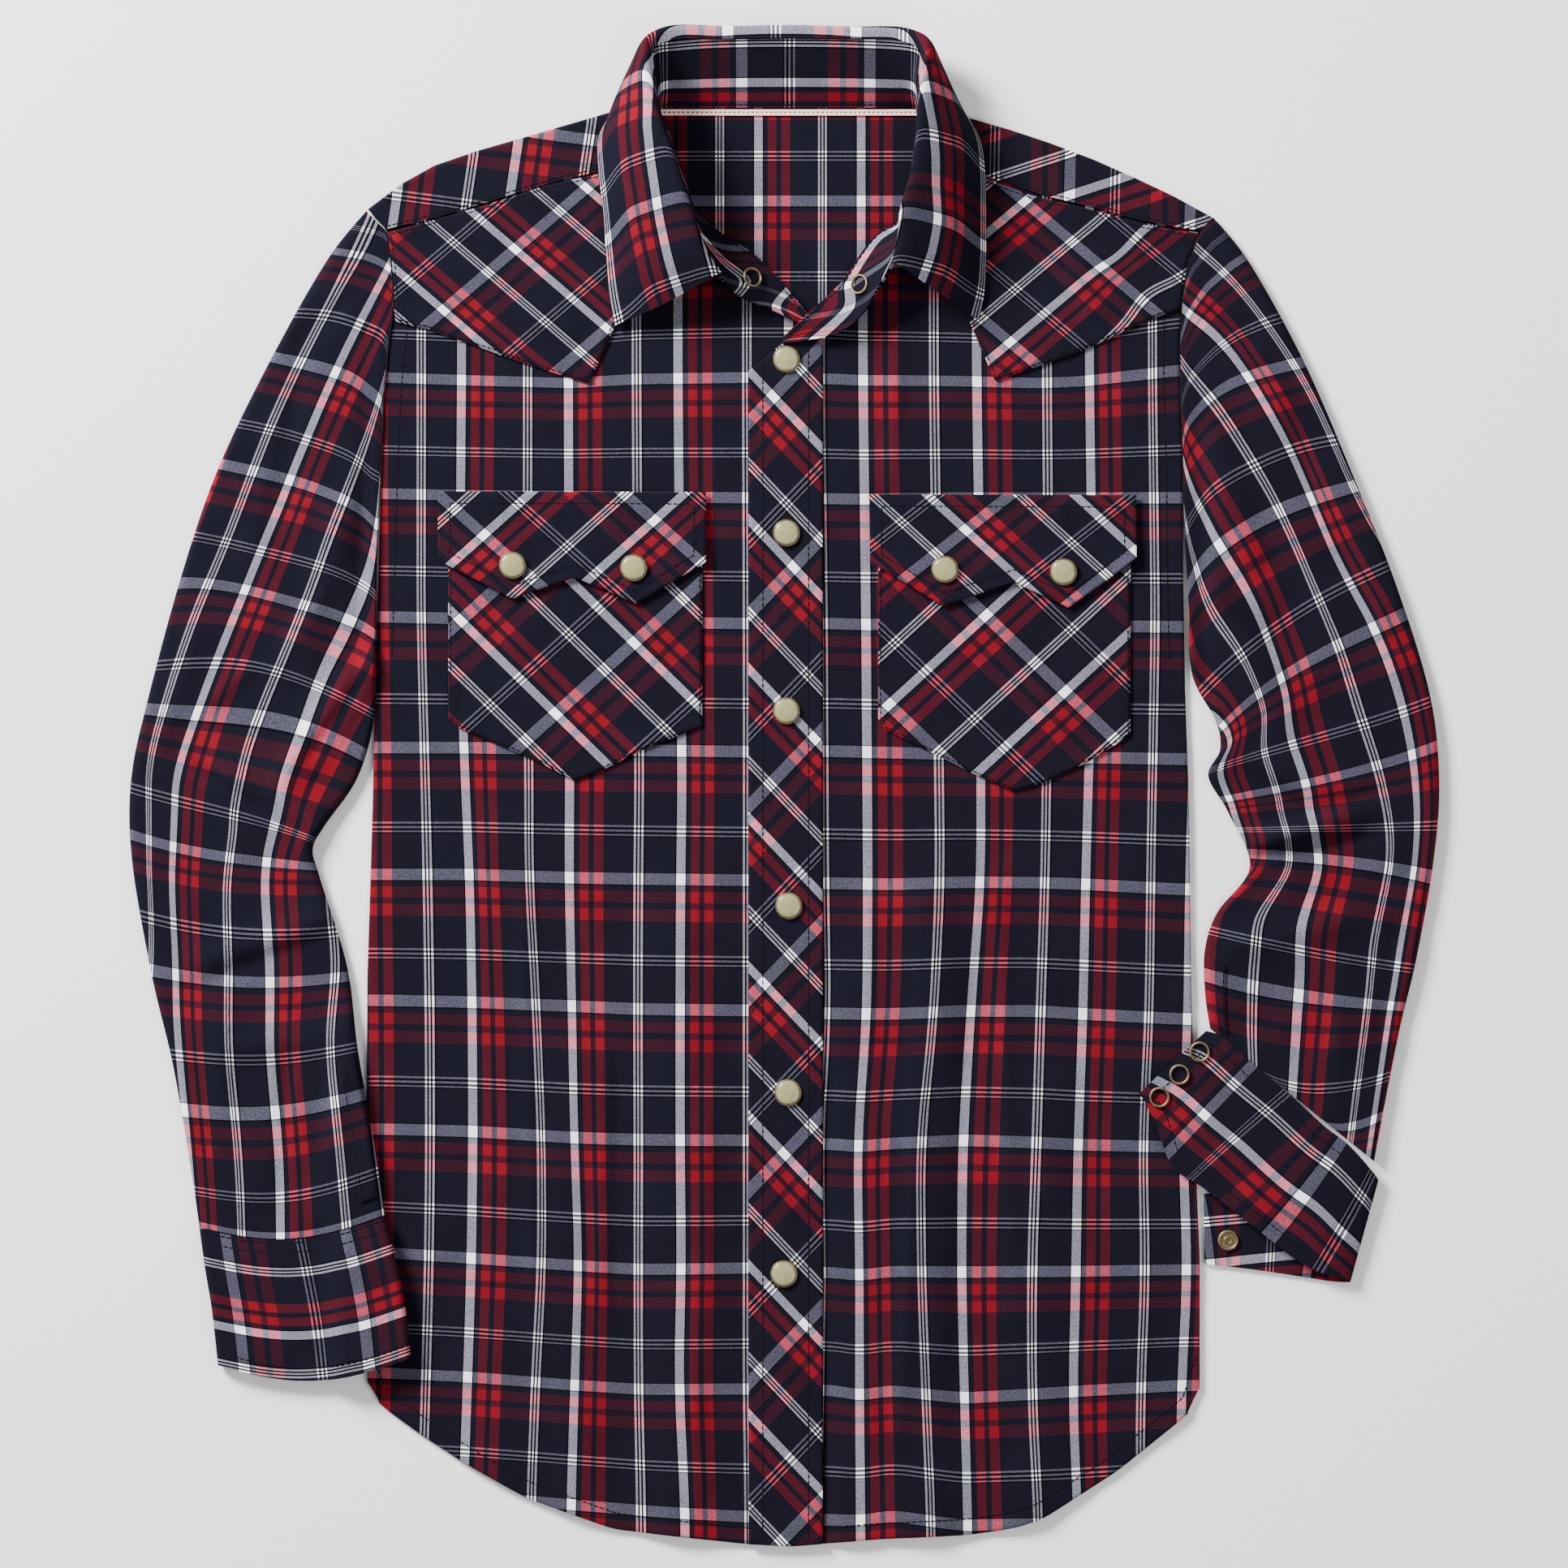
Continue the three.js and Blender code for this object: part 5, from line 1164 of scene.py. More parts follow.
CUTS = {
    "back": Cut(Slot.CHECK, 0.432, 0.61, 0.246, ("floor",)),
    "front_right": Cut(Slot.CHECK, 0.236, 0.70, 0.154, ("cloth_back",)),
    "front_left": Cut(Slot.CHECK, 0.197, 0.70, 0.128, ("cloth_back",)),
    "back_yoke": Cut(Slot.BIAS, 0.46, 0.19, 0.064, ("floor",), Held.FOLDED),
    "front_yoke_right": Cut(Slot.BIAS, 0.15, 0.115, 0.0108, ("cloth_front_right",)),
    "front_yoke_left": Cut(Slot.BIAS, 0.15, 0.115, 0.0100, ("cloth_front_left",)),
    "pocket_right": Cut(Slot.BIAS, 0.132, 0.148, 0.0170, ("cloth_front_right",)),
    "pocket_left": Cut(Slot.BIAS, 0.131, 0.153, 0.0175, ("cloth_front_left",)),
    "pocket_flap_right": Cut(Slot.BIAS, 0.139, 0.059, 0.0067, ("cloth_pocket_right",)),
    "pocket_flap_left": Cut(Slot.BIAS, 0.138, 0.060, 0.0067, ("cloth_pocket_left",)),
    "placket": Cut(Slot.INTERLINED, 0.0385, 0.635, 0.0238,
                   ("cloth_front_right", "cloth_front_left")),
    "sleeve_right": Cut(Slot.CHECK, 0.29, 0.54, 0.097, ("floor",), Held.FOLDED),
    "sleeve_left": Cut(Slot.CHECK, 0.32, 0.49, 0.087, ("floor",), Held.FOLDED),
    "sleeve_placket_right": Cut(Slot.CHECK, 0.011, 0.068, 0.0006664, ("cloth_sleeve_right",)),
    "sleeve_placket_left": Cut(Slot.CHECK, 0.011, 0.046, 0.0004508, ("cloth_sleeve_left",)),
    "cuff_right": Cut(Slot.INTERLINED, 0.205, 0.074, 0.0148, ("cloth_front_right", "floor"),
                      Held.FOLDED),
    "cuff_left": Cut(Slot.INTERLINED, 0.215, 0.067, 0.0125, ("cloth_sleeve_left", "floor"),
                     Held.FOLDED),
    "collar_leaf": Cut(Slot.INTERLINED, 0.45, 0.062, 0.0205, ("cloth_collar_stand",), Held.FOLDED),
    "collar_stand": Cut(Slot.INTERLINED, 0.44, 0.040, 0.0132,
                        ("cloth_back_yoke", "cloth_front_right")),
    "neck_tape": Cut(Slot.TAPE, 0.01, 0.134, 0.00046, ("cloth_back_yoke",)),
}


class Tailor:
    """Makes each piece of the shirt, parents it to the root and hides the solid that it stands for.
    """

    def __init__(self) -> None:
        """Makes the finishes."""
        finishes = {
            Slot.CHECK: CheckCloth, Slot.BIAS: CheckCloth,
            Slot.INTERLINED: partial(CheckCloth, softness=0.0003),
            Slot.TAPE: TapeFinish, Slot.METAL: BrassFinish, Slot.PEARL: PearlFinish,
        }
        self.finishes = {slot: make(slot.value).material() for slot, make in finishes.items()}
        self.thread = PlainFinish("thread", (0.0015, 0.0015, 0.0025, 1), 0.8).material()
        self.floor = PlainFinish("floor", (0.92, 0.92, 0.92, 1), 0.9).material()

    def part(self, thing: bpy.types.Object, node: str, slot: Slot) -> None:
        """Dresses a piece and puts it in place of a solid."""
        thing.data.materials.append(self.finishes[slot])
        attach(thing, "root")
        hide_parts(node)

    def cloth(self, node: str, shell: Shell, thread: Thread | None = None) -> None:
        """Makes a cloth piece and its stitches.

        Args:
            node: solid that it stands for.
            shell: its form.
            thread: its stitches, if it has any.
        """
        cut = CUTS[node]
        thing = shell.build(f"cloth_{node}")
        self.part(thing, node, cut.slot)
        if thread is not None:
            stitches = thread.build()
            stitches.data.materials.append(self.thread)
            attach(stitches, "root")
        LOG.info("%s: %d faces, flat cut %.0f x %.0f mm", node, len(thing.data.polygons),
                 cut.width / MM, cut.length / MM)


def shares(count: int, rows: int, margin: float = 0.012) -> np.ndarray:
    """Returns shares across a table, with its own rows among them."""
    return np.unique(np.concatenate([close_ends(count, margin), np.linspace(0, 1, rows)]).round(6))


@dataclass
class Body:
    """Back panel and the two fronts."""

    tailor: Tailor
    thickness: float = 1.0
    back_z: float = 0.0
    front_z: float = 1.5
    seam_y: float = 286.4
    side_end: float = -304.1
    placket_edge: float = 20.3
    underlap: float = 18.5
    hem_reach: float = 5.0
    hem_stitch: float = 8.4
    armhole_stitch: float = 8.5
    armhole_from: float = 60.0
    armhole_to: float = 284.0
    columns: int = 110
    rows: int = 230
    column_margin: float = 0.01
    row_margin: float = 0.004
    back_columns: int = 70
    back_rows: int = 80
    back_gap: float = 0.3
    back_grain: Grain = Grain((0.0, 210.0), (1, 0), (0, -1))
    right_stripes: Stripes = field(default_factory=lambda: Stripes(
        RIGHT_UPRIGHTS, RIGHT_VALUES, RIGHT_LEVEL_AT, RIGHT_LEVELS))
    left_stripes: Stripes = field(default_factory=lambda: Stripes(
        LEFT_UPRIGHTS, LEFT_VALUES, LEFT_LEVEL_AT, LEFT_LEVELS))

    def front(self, top: Rows, left: Callable, right: Callable) -> np.ndarray:
        """Works out a front panel's underside.

        Args:
            top: its upper edge.
            left: place of its left edge at a height.
            right: place of its right edge at a height.

        Returns:
            A grid of points.
        """
        u = close_ends(self.columns, self.column_margin)[None, :]
        t = close_ends(self.rows, self.row_margin)[:, None]
        seam, end = np.array(self.seam_y), np.array(self.side_end)
        top_y = top.read("x", mix(left(seam), right(seam), u), "y")
        hem_x = mix(left(end), right(end), u)
        hem_y = soft_read(hem_x, HEM.column("x"), HEM.column("y"), self.hem_reach)
        y = mix(top_y, hem_y, t)
        x = mix(left(y), right(y), u)
        return np.stack([x, y, self.front_z + drape(x, y)], -1)

    def dress_front(self, side: str, grid: np.ndarray, stripes: Stripes, outer: Side) -> None:
        """Makes one front with its hem and armhole stitches.

        Args:
            side: right or left, the wearer's.
            grid: its underside.
            stripes: how its check lies.
            outer: edge at the side seam.
        """
        weave = stripes.places(grid[..., 0], grid[..., 1])
        shell = Shell.on_underside(grid, self.thickness, weave, (Side.LAST_ROW, outer))
        thread = Thread(f"stitches_front_{side}")
        thread.follow(shell.upper, (Side.LAST_ROW,), self.hem_stitch)
        line = inset(shell.upper, outer, self.armhole_stitch)
        height = line[:, 0, 1]
        thread.run(line[(height > self.armhole_from) & (height < self.armhole_to)])
        self.tailor.cloth(f"front_{side}", shell, thread)

    def build(self) -> None:
        """Makes the three panels."""
        u = np.linspace(0, 1, self.back_columns)[None, :]
        t = close_ends(self.back_rows)[:, None]
        first, last = YOKE_COLUMNS.column("back_x")[[0, -1]]
        back_y = YOKE_COLUMNS.read("back_x", mix(first, last, u), "back_y")
        hem_y = HEM.read("x", mix(*HEM.column("x")[[0, -1]], u), "y")
        y = mix(back_y - self.back_gap, hem_y, t)
        x = mix(side_left(y), side_right(y), u)
        grid = np.stack([x, y, np.full_like(x, self.back_z)], -1)
        shell = Shell.on_underside(grid, self.thickness, self.back_grain.places(x, y))
        self.tailor.cloth("back", shell)
        right = self.front(RIGHT_FRONT_TOP, side_left, lambda y: y * 0 + self.underlap)
        self.dress_front("right", right, self.right_stripes, Side.FIRST_COLUMN)
        left = self.front(LEFT_FRONT_TOP, lambda y: y * 0 + self.placket_edge, side_right)
        self.dress_front("left", left, self.left_stripes, Side.LAST_COLUMN)


@dataclass(frozen=True)
class Patch:
    """Piece that lies on a front between an upper and a lower edge."""

    node: str
    edges: Rows
    underside: float
    grain: Grain
    stitch: float
    curl: float = 0.0
    seed: int = 1
    stitched: tuple[Side, ...] = ALL_SIDES
    pulls: tuple[Pull, ...] = ()
    thickness: float = 1.1
    seam_drop: float = 0.6
    columns: int = 84
    rows: int = 64
    wave_size: float = 30.0
    wave_height: float = 0.16
    pucker: float = 0.22
    pucker_in: float = 2.5
    pucker_width: float = 3.0
    ripple_run: tuple[float, float] = (0.9, 0.7)
    ripple_seed: int = 9
    ripple_turn: float = 0.75
    ripple_wander: float = 1.4

    def surface(self) -> np.ndarray:
        """Works out the underside."""
        u = shares(self.columns, len(self.edges.data))[None, :]
        t = close_ends(self.rows)[:, None]
        edge = self.edges
        y = mix(edge.linear("top_y", u) - self.seam_drop, edge.linear("low_y", u), t)
        x = mix(edge.linear("top_x", u), edge.linear("low_x", u), t)
        x = np.minimum(side_right(y) - SIDE_GAP, np.maximum(side_left(y) + SIDE_GAP, x))
        rise = np.abs(waves(x, y, self.seed, self.wave_size, self.wave_height))
        lift = self.curl * t * t + rise
        grid = np.stack([x, y, self.underside + drape(x, y) + lift], -1)
        near = edge_distance(grid, ALL_SIDES)
        wander = waves(x, y, self.seed + self.ripple_seed, self.wave_size, self.ripple_wander)
        run_x, run_y = self.ripple_run
        ripple = np.sin((x * run_x + y * run_y) * self.ripple_turn + wander)
        beside = (near - self.stitch - self.pucker_in) / self.pucker_width
        grid[..., 2] += self.pucker * (1 + ripple) * np.exp(-(beside**2))
        return grid

    def dress(self, tailor: Tailor) -> None:
        """Makes the piece with its edge stitches."""
        grid = self.surface()
        x, y = grid[..., 0], grid[..., 1]
        weave = self.grain.places(x, y) + sum(pull.shift(x, y) for pull in self.pulls)
        shell = Shell.on_underside(grid, self.thickness, weave)
        thread = Thread(f"stitches_{self.node}")
        thread.follow(shell.upper, self.stitched, self.stitch, self.stitch)
        tailor.cloth(self.node, shell, thread)


@dataclass
class Pockets:
    """Pockets and their pointed flaps."""

    tailor: Tailor
    pocket_z: float = 3.0
    pocket_stitch: float = 1.4
    pocket_sides: tuple[Side, ...] = (Side.FIRST_COLUMN, Side.LAST_COLUMN, Side.LAST_ROW)
    flap_z: float = 4.5
    flap_stitch: float = 6.3
    flap_curl: float = 1.5
    grains: tuple[Grain, Grain] = (
        Grain((-118.3, 36.4), (0.742, 0.670), (0.714, -0.700), 0.935, 1.039),
        Grain((104.4, 87.3), (0.721, -0.693), (-0.736, -0.677), 0.974, 1.027),
    )
    flap_grains: tuple[Grain, Grain] = (
        Grain((-155.2, 128.9), (0.745, -0.667), (-0.745, -0.667), 0.917, 0.978),
        Grain((93.8, 131.3), (0.784, 0.620), (0.737, -0.676), 0.892, 0.9625),
    )

    def build(self) -> None:
        """Makes both pockets and both flaps."""
        for side, edges, grain, seed in (("right", POCKET_RIGHT, self.grains[0], 21),
                                         ("left", POCKET_LEFT, self.grains[1], 22)):
            Patch(f"pocket_{side}", edges, self.pocket_z, grain, self.pocket_stitch, seed=seed,
                  stitched=self.pocket_sides).dress(self.tailor)
        for side, edges, grain, seed in (("right", FLAP_RIGHT, self.flap_grains[0], 23),
                                         ("left", FLAP_LEFT, self.flap_grains[1], 24)):
            Patch(f"pocket_flap_{side}", edges, self.flap_z, grain, self.flap_stitch,
                  self.flap_curl, seed).dress(self.tailor)


@dataclass
class Yokes:
    """Back yoke that comes over the shoulders, and the pointed front yokes."""

    tailor: Tailor
    thickness: float = 1.0
    low_z: float = 0.6
    turn: float = 1.5
    set_in: float = 2.1
    neck_from: int = 7
    neck_to: int = 11
    middle: int = 9
    columns: int = 130
    back_rows: int = 26
    fold_rows: int = 11
    stitch: float = 1.5
    front_z: float = 3.0
    front_stitch: float = 1.6
    right_grain: Grain = Grain((-136.7, 338.1), (0.991, -0.131), (-0.15, -0.989), 0.99)
    left_grain: Grain = Grain((147.8, 304.7), (-0.02, -1), (-0.95, -0.31))
    neck_grain: Grain = Grain((39.8, 301.8), (1, 0), (0, -1), 0.91, 0.94)
    front_right_grain: Grain = Grain((-139.3, 276.6), (0.760, 0.650), (0.757, -0.653), 0.833, 0.948)
    front_left_grain: Grain = Grain((116.9, 228.6), (0.764, -0.645), (-0.765, -0.643), 0.883, 0.926)
    left_pulls: tuple[Pull, ...] = (Pull(172.1, 274.5, 12, -2.8), Pull(185.4, 255.4, 16, 5.8))

    def back_path(self) -> tuple[np.ndarray, np.ndarray]:
        """Works out the back yoke, from its back seam round the shoulder fold to its front seam.

        Returns:
            Middle points and the table place of each column.
        """
        table = YOKE_COLUMNS
        last = len(table.data) - 1
        even = np.linspace(0, last, self.columns)
        place = np.unique(np.concatenate([even, np.arange(last + 1)]).round(5))
        fold, seam, back = (
            np.stack([table.linear(f"{line}_{axis}", place / last) for axis in "xy"], -1)
            for line in ("fold", "seam", "back"))
        inward = unit(seam - fold)
        neck = np.minimum(place - self.neck_from, self.neck_to - place)
        amount = self.set_in * (1 - np.clip(neck, 0, 1))
        centre = fold + inward * amount[:, None]
        rows = []
        for share in np.linspace(0, 1, self.back_rows):
            rows.append((mix(back, centre, share), self.low_z))
        for angle in np.linspace(0, math.pi, self.fold_rows)[1:]:
            rows.append((centre - inward * self.turn * math.sin(angle),
                         self.low_z + self.turn * (1 - math.cos(angle))))
        for share in np.linspace(0, 1, self.fold_rows)[1:]:
            rows.append((mix(centre, seam, share), self.low_z + 2 * self.turn))
        grid = np.array([np.column_stack([p, np.full(len(p), z)]) for p, z in rows])
        x, y = (grid[: self.back_rows, :, k] for k in range(2))
        x[:] = np.clip(x, side_left(y) + SIDE_GAP, side_right(y) - SIDE_GAP)
        return grid, place

    def build_back_yoke(self) -> None:
        """Makes the back yoke."""
        grid, place = self.back_path()
        fold = grid[self.back_rows + self.fold_rows // 2 - 1]
        below = (grid[..., 2] < self.low_z + self.turn)[..., None]
        opened = np.where(below, 2 * fold[None] - grid, grid)
        x, y = opened[..., 0], opened[..., 1]
        at_neck = ((place > self.neck_from - 0.2) & (place < self.neck_to + 0.2))[None, :, None]
        on_right = (place < self.middle)[None, :, None]
        sides = np.where(on_right, self.right_grain.places(x, y), self.left_grain.places(x, y))
        weave = np.where(at_neck, self.neck_grain.places(grid[..., 0], grid[..., 1]), sides)
        row = np.arange(len(grid) - 1)[:, None]
        column = place[None, :-1]
        outside_neck = (column < self.neck_from) | (column >= self.neck_to)
        exists = (row < self.back_rows - 1) | outside_neck
        shell = Shell.about_middle(grid, self.thickness, weave, exists)
        thread = Thread("stitches_back_yoke")
        strip = shell.upper[self.back_rows + self.fold_rows - 1:]
        for shown in (place < self.neck_from - 0.1, place > self.neck_to + 0.1):
            thread.follow(strip[:, shown], (Side.LAST_ROW,), self.stitch)
        self.tailor.cloth("back_yoke", shell, thread)

    def build(self) -> None:
        """Makes the three yokes."""
        self.build_back_yoke()
        for side, edges, grain, seed, pulls in (
                ("right", FRONT_YOKE_RIGHT, self.front_right_grain, 31, ()),
                ("left", FRONT_YOKE_LEFT, self.front_left_grain, 32, self.left_pulls)):
            Patch(f"front_yoke_{side}", edges, self.front_z, grain, self.front_stitch, seed=seed,
                  pulls=pulls).dress(self.tailor)


@dataclass
class Placket:
    """Bias strip down the front that carries the snaps."""

    tailor: Tailor
    top: Rows = field(default_factory=lambda: Rows("x y", (-18.3, 213.8), (-0.8, 228), (20, 241)))
    underside: float = 3.0
    thickness: float = 1.6
    stitch: float = 7.4
    columns: int = 34
    rows: int = 300
    column_margin: float = 0.04
    row_margin: float = 0.003
    hem_reach: float = 5.0
    wave: tuple[int, float, float] = (41, 26.0, 0.12)
    grain: Grain = Grain((5.0, 112.2), (-0.69, -0.72), (0.69, -0.73), 0.908, 1.04)

    def build(self) -> None:
        """Makes the strip."""
        across = close_ends(self.columns, self.column_margin)[None, :]
        x = mix(PLACKET_LEFT, PLACKET_RIGHT, across)
        t = close_ends(self.rows, self.row_margin)[:, None]
        hem = soft_read(x, HEM.column("x"), HEM.column("y"), self.hem_reach)
        y = mix(self.top.read("x", x, "y"), hem, t)
        x = x + t * 0
        z = self.underside + np.abs(waves(x, y, *self.wave))
        grid = np.stack([x, y, z], -1)
        shell = Shell.on_underside(grid, self.thickness, self.grain.places(x, y))
        thread = Thread("stitches_placket")
        thread.follow(shell.upper, (Side.FIRST_COLUMN, Side.LAST_COLUMN), self.stitch)
        self.tailor.cloth("placket", shell, thread)


@dataclass(frozen=True)
class Tube:
    """Flattened tube of cloth, from a table of its two edges."""

    edges: Rows
    folds: tuple[Rows, ...] = ()
    lift: float = 0.0
    armhole: Callable | None = None
    armhole_gap: float = 0.0
    armhole_reach: float = 0.22
    edge_radius: float = 4.5
    seed: int = 51
    unevenness: float = 0.3
    wave_size: float = 34.0
    fine_wave_size: float = 14.0
    fine_share: float = 0.25
    deepest: float = 1.6
    smooth_start: float = 0.15
    lifted_x: tuple[float, float] = (-241.0, -226.0)
    lifted_y: tuple[float, float] = (-105.0, -150.0)

    def lift_at(self, x: np.ndarray, y: np.ndarray) -> np.ndarray:
        """Returns how far the tube is raised where it lies on the side of the body."""
        return self.lift * smooth_step(*self.lifted_x, x) * smooth_step(*self.lifted_y, y)

    def face(self, station: np.ndarray, across: np.ndarray, up: float, wall: float) -> np.ndarray:
        """Works out one side of the tube.

        Args:
            station: shares along it, as a column.
            across: shares from its outer to its inner edge, as a row.
            up: 1 for the upper side and -1 for the lower.
            wall: how far inside the tube's outer face.

        Returns:
            A grid of points.
        """
        row = {name: self.edges.smooth(name, station) for name in self.edges.names}
        width = np.hypot(row["in_x"] - row["out_x"], row["in_y"] - row["out_y"])
        margin = wall / width
        share = margin + across * (1 - 2 * margin)
        edge = np.clip(np.minimum(across, 1 - across) * width / self.edge_radius, 0, 1)
        rise = 0.5 + 0.5 * up * np.sqrt(1 - (1 - edge) ** 2)
        x = mix(row["out_x"], row["in_x"], share)
        y = mix(row["out_y"], row["in_y"], share) + row["bow"] * np.sin(math.pi * share)
        if self.armhole is not None:
            first = self.edges.data[0]
            line_y = mix(first[1], first[3], share)
            offset = self.armhole(line_y) + self.armhole_gap - mix(first[0], first[2], share)
            x = x + offset * smooth_step(self.armhole_reach, 0, station)
        ridge = sum((ridges(fold, x, y) for fold in self.folds), np.zeros_like(x))
        ridge = ridge + waves(x, y, self.seed, self.wave_size, self.unevenness)
        fine = self.unevenness * self.fine_share
        ridge = ridge + waves(x, y, self.seed + 1, self.fine_wave_size, fine)
        grown = rise**2 * smooth_step(0, self.smooth_start, station)
        ridge = np.maximum(-self.deepest, ridge) * grown
        z = self.lift_at(x, y) + wall + rise * (row["height"] - 2 * wall) + ridge
        return np.stack([x, y, z], -1)

    def ring(self, station: np.ndarray, across: np.ndarray, wall: float) -> np.ndarray:
        """Works out one whole face of the wall, from the inner edge over the top and back below."""
        above = self.face(station, across[None, ::-1], 1, wall)
        below = self.face(station, across[None, 1:-1], -1, wall)
        return np.concatenate([above, below], 1)


@dataclass
class Sleeves:
    """Two sleeves, the strips that bind their vents, and the closed cuff."""

    tailor: Tailor
    wall: float = 1.0
    cuff_wall: float = 1.5
    rows: int = 220
    row_margin: float = 0.004
    body_lift: float = 3.4
    armhole_gap: float = 0.5
    stripe_reach: float = 0.04
    vent_along: tuple[float, float, int] = (0.83, 0.97, 40)
    vent_across: tuple[float, float, int] = (0.885, 0.985, 16)
    vent_rise: float = 0.3
    vent_wall: float = 0.9
    vent_stitch: float = 1.3
    cuff_rows: int = 60
    cuff_row_margin: float = 0.02
    cuff_edge_radius: float = 3.5
    cuff_unevenness: float = 0.12
    cuff_lift: float = 6.4
    cuff_stitch: float = 6.5
    cuff_seam_stitch: float = 1.6
    cuff_white: tuple[float, float] = (0.139, 50.2)
    cuff_repeat: float = 0.648
    cuff_scale: float = 1.1
    across: np.ndarray = field(default_factory=lambda: close_ends(56, 0.03, 5))

    def weave(self, station: np.ndarray, across: np.ndarray, stripes: np.ndarray,
              values: Sequence[float], levels: np.ndarray) -> np.ndarray:
        """Works out a sleeve's cloth coordinates.

        Args:
            station: shares along the sleeve, as a column.
            across: shares from its outer edge, below zero on the lower side, as a row.
            stripes: station, then the share across of each stripe.
            values: cloth coordinate of each stripe.
            levels: station of each level stripe at the outer and inner edge, and its sag.

        Returns:
            Cloth coordinates, with shape (rows, columns, 2).
        """
        flat = np.abs(across)
        columns = [soft_read(station, stripes[:, 0], stripes[:, k + 1], self.stripe_reach)
                   for k in range(len(values))]
        u = piecewise(flat + station * 0, columns, values)
        outer = piecewise(station * 0, columns, values)
        u = np.where(across < 0, 2 * outer - u, u)
        rows = [mix(outer_at, inner_at, flat) + 4 * sag * flat * (1 - flat)
                for outer_at, inner_at, sag in levels]
        v = piecewise(station + flat * 0, rows, WEFT_WHITE + WEFT_REPEAT * np.arange(len(levels)))
        return np.stack([u, v], -1)

    def signed(self) -> np.ndarray:
        """Returns the share across of each column round a sleeve, below zero underneath."""
        below = -self.across[1:]
        return np.concatenate([self.across[::-1], below])[None, :]

    def build_sleeve(self, side: str, tube: Tube, stripes: np.ndarray, values: Sequence[float],
                     levels: np.ndarray) -> None:
        """Makes one sleeve and the strip at its vent.

        Args:
            side: right or left, the wearer's.
            tube: its form.
            stripes: where its stripes show.
            values: cloth coordinate of each stripe.
            levels: where its level stripes show.
        """
        station = close_ends(self.rows, self.row_margin)[:, None]
        weave = self.weave(station, self.signed(), stripes, values, levels)
        faces = [tube.ring(station, self.across, wall) for wall in (0.0, self.wall)]
        self.tailor.cloth(f"sleeve_{side}", Shell(*faces, weave, ringed=True))
        rows = np.linspace(*self.vent_along)[:, None]
        columns = np.linspace(*self.vent_across)[None, :]
        grid = tube.face(rows, columns, 1, 0.0) + np.array([0, 0, self.vent_rise])
        weave = self.weave(rows, columns, stripes, values, levels)
        strip = Shell.on_underside(grid, self.vent_wall, weave)
        thread = Thread(f"stitches_sleeve_placket_{side}")
        edges = (Side.FIRST_COLUMN, Side.FIRST_ROW, Side.LAST_ROW)
        thread.follow(strip.upper, edges, self.vent_stitch)
        self.tailor.cloth(f"sleeve_placket_{side}", strip, thread)

    def build_cuff(self) -> None:
        """Makes the closed cuff."""
        tube = Tube(CUFF_RIGHT, (), self.cuff_lift, edge_radius=self.cuff_edge_radius, seed=61,
                    unevenness=self.cuff_unevenness)
        station = close_ends(self.cuff_rows, self.cuff_row_margin)[:, None]
        white_round, white_along = self.cuff_white
        repeats = (self.signed() - white_round) / self.cuff_repeat
        v = WEFT_WHITE + repeats * WEFT_REPEAT + station * 0
        upper = tube.ring(station, self.across, 0.0)
        walk = lengths(upper, 0)
        along = np.concatenate([walk, walk[:, :1]], 1)
        u = WARP_WHITE + (white_along - along) * self.cuff_scale
        shell = Shell(upper, tube.ring(station, self.across, self.cuff_wall),
                      np.stack([u, v], -1), ringed=True)
        thread = Thread("stitches_cuff_right")
        top = upper[:, : len(self.across)]
        thread.follow(top, (Side.FIRST_ROW,), self.cuff_seam_stitch)
        thread.follow(top, (Side.LAST_ROW, Side.FIRST_ROW), self.cuff_stitch)
        self.tailor.cloth("cuff_right", shell, thread)

    def build(self) -> None:
        """Makes the sleeves and the closed cuff."""
        right = Tube(SLEEVE_RIGHT, (RIGHT_SLEEVE_FOLDS, RIGHT_SLEEVE_CREASES), self.body_lift,
                     side_left, -self.armhole_gap)
        left = Tube(SLEEVE_LEFT, (LEFT_SLEEVE_FOLDS, LEFT_SLEEVE_CREASES), 0.0, side_right,
                    self.armhole_gap, seed=55)
        self.build_sleeve("right", right, RIGHT_SLEEVE_STRIPES, RIGHT_SLEEVE_VALUES,
                          RIGHT_SLEEVE_LEVELS)
        self.build_sleeve("left", left, LEFT_SLEEVE_STRIPES, LEFT_SLEEVE_VALUES,
                          LEFT_SLEEVE_LEVELS)
        self.build_cuff()


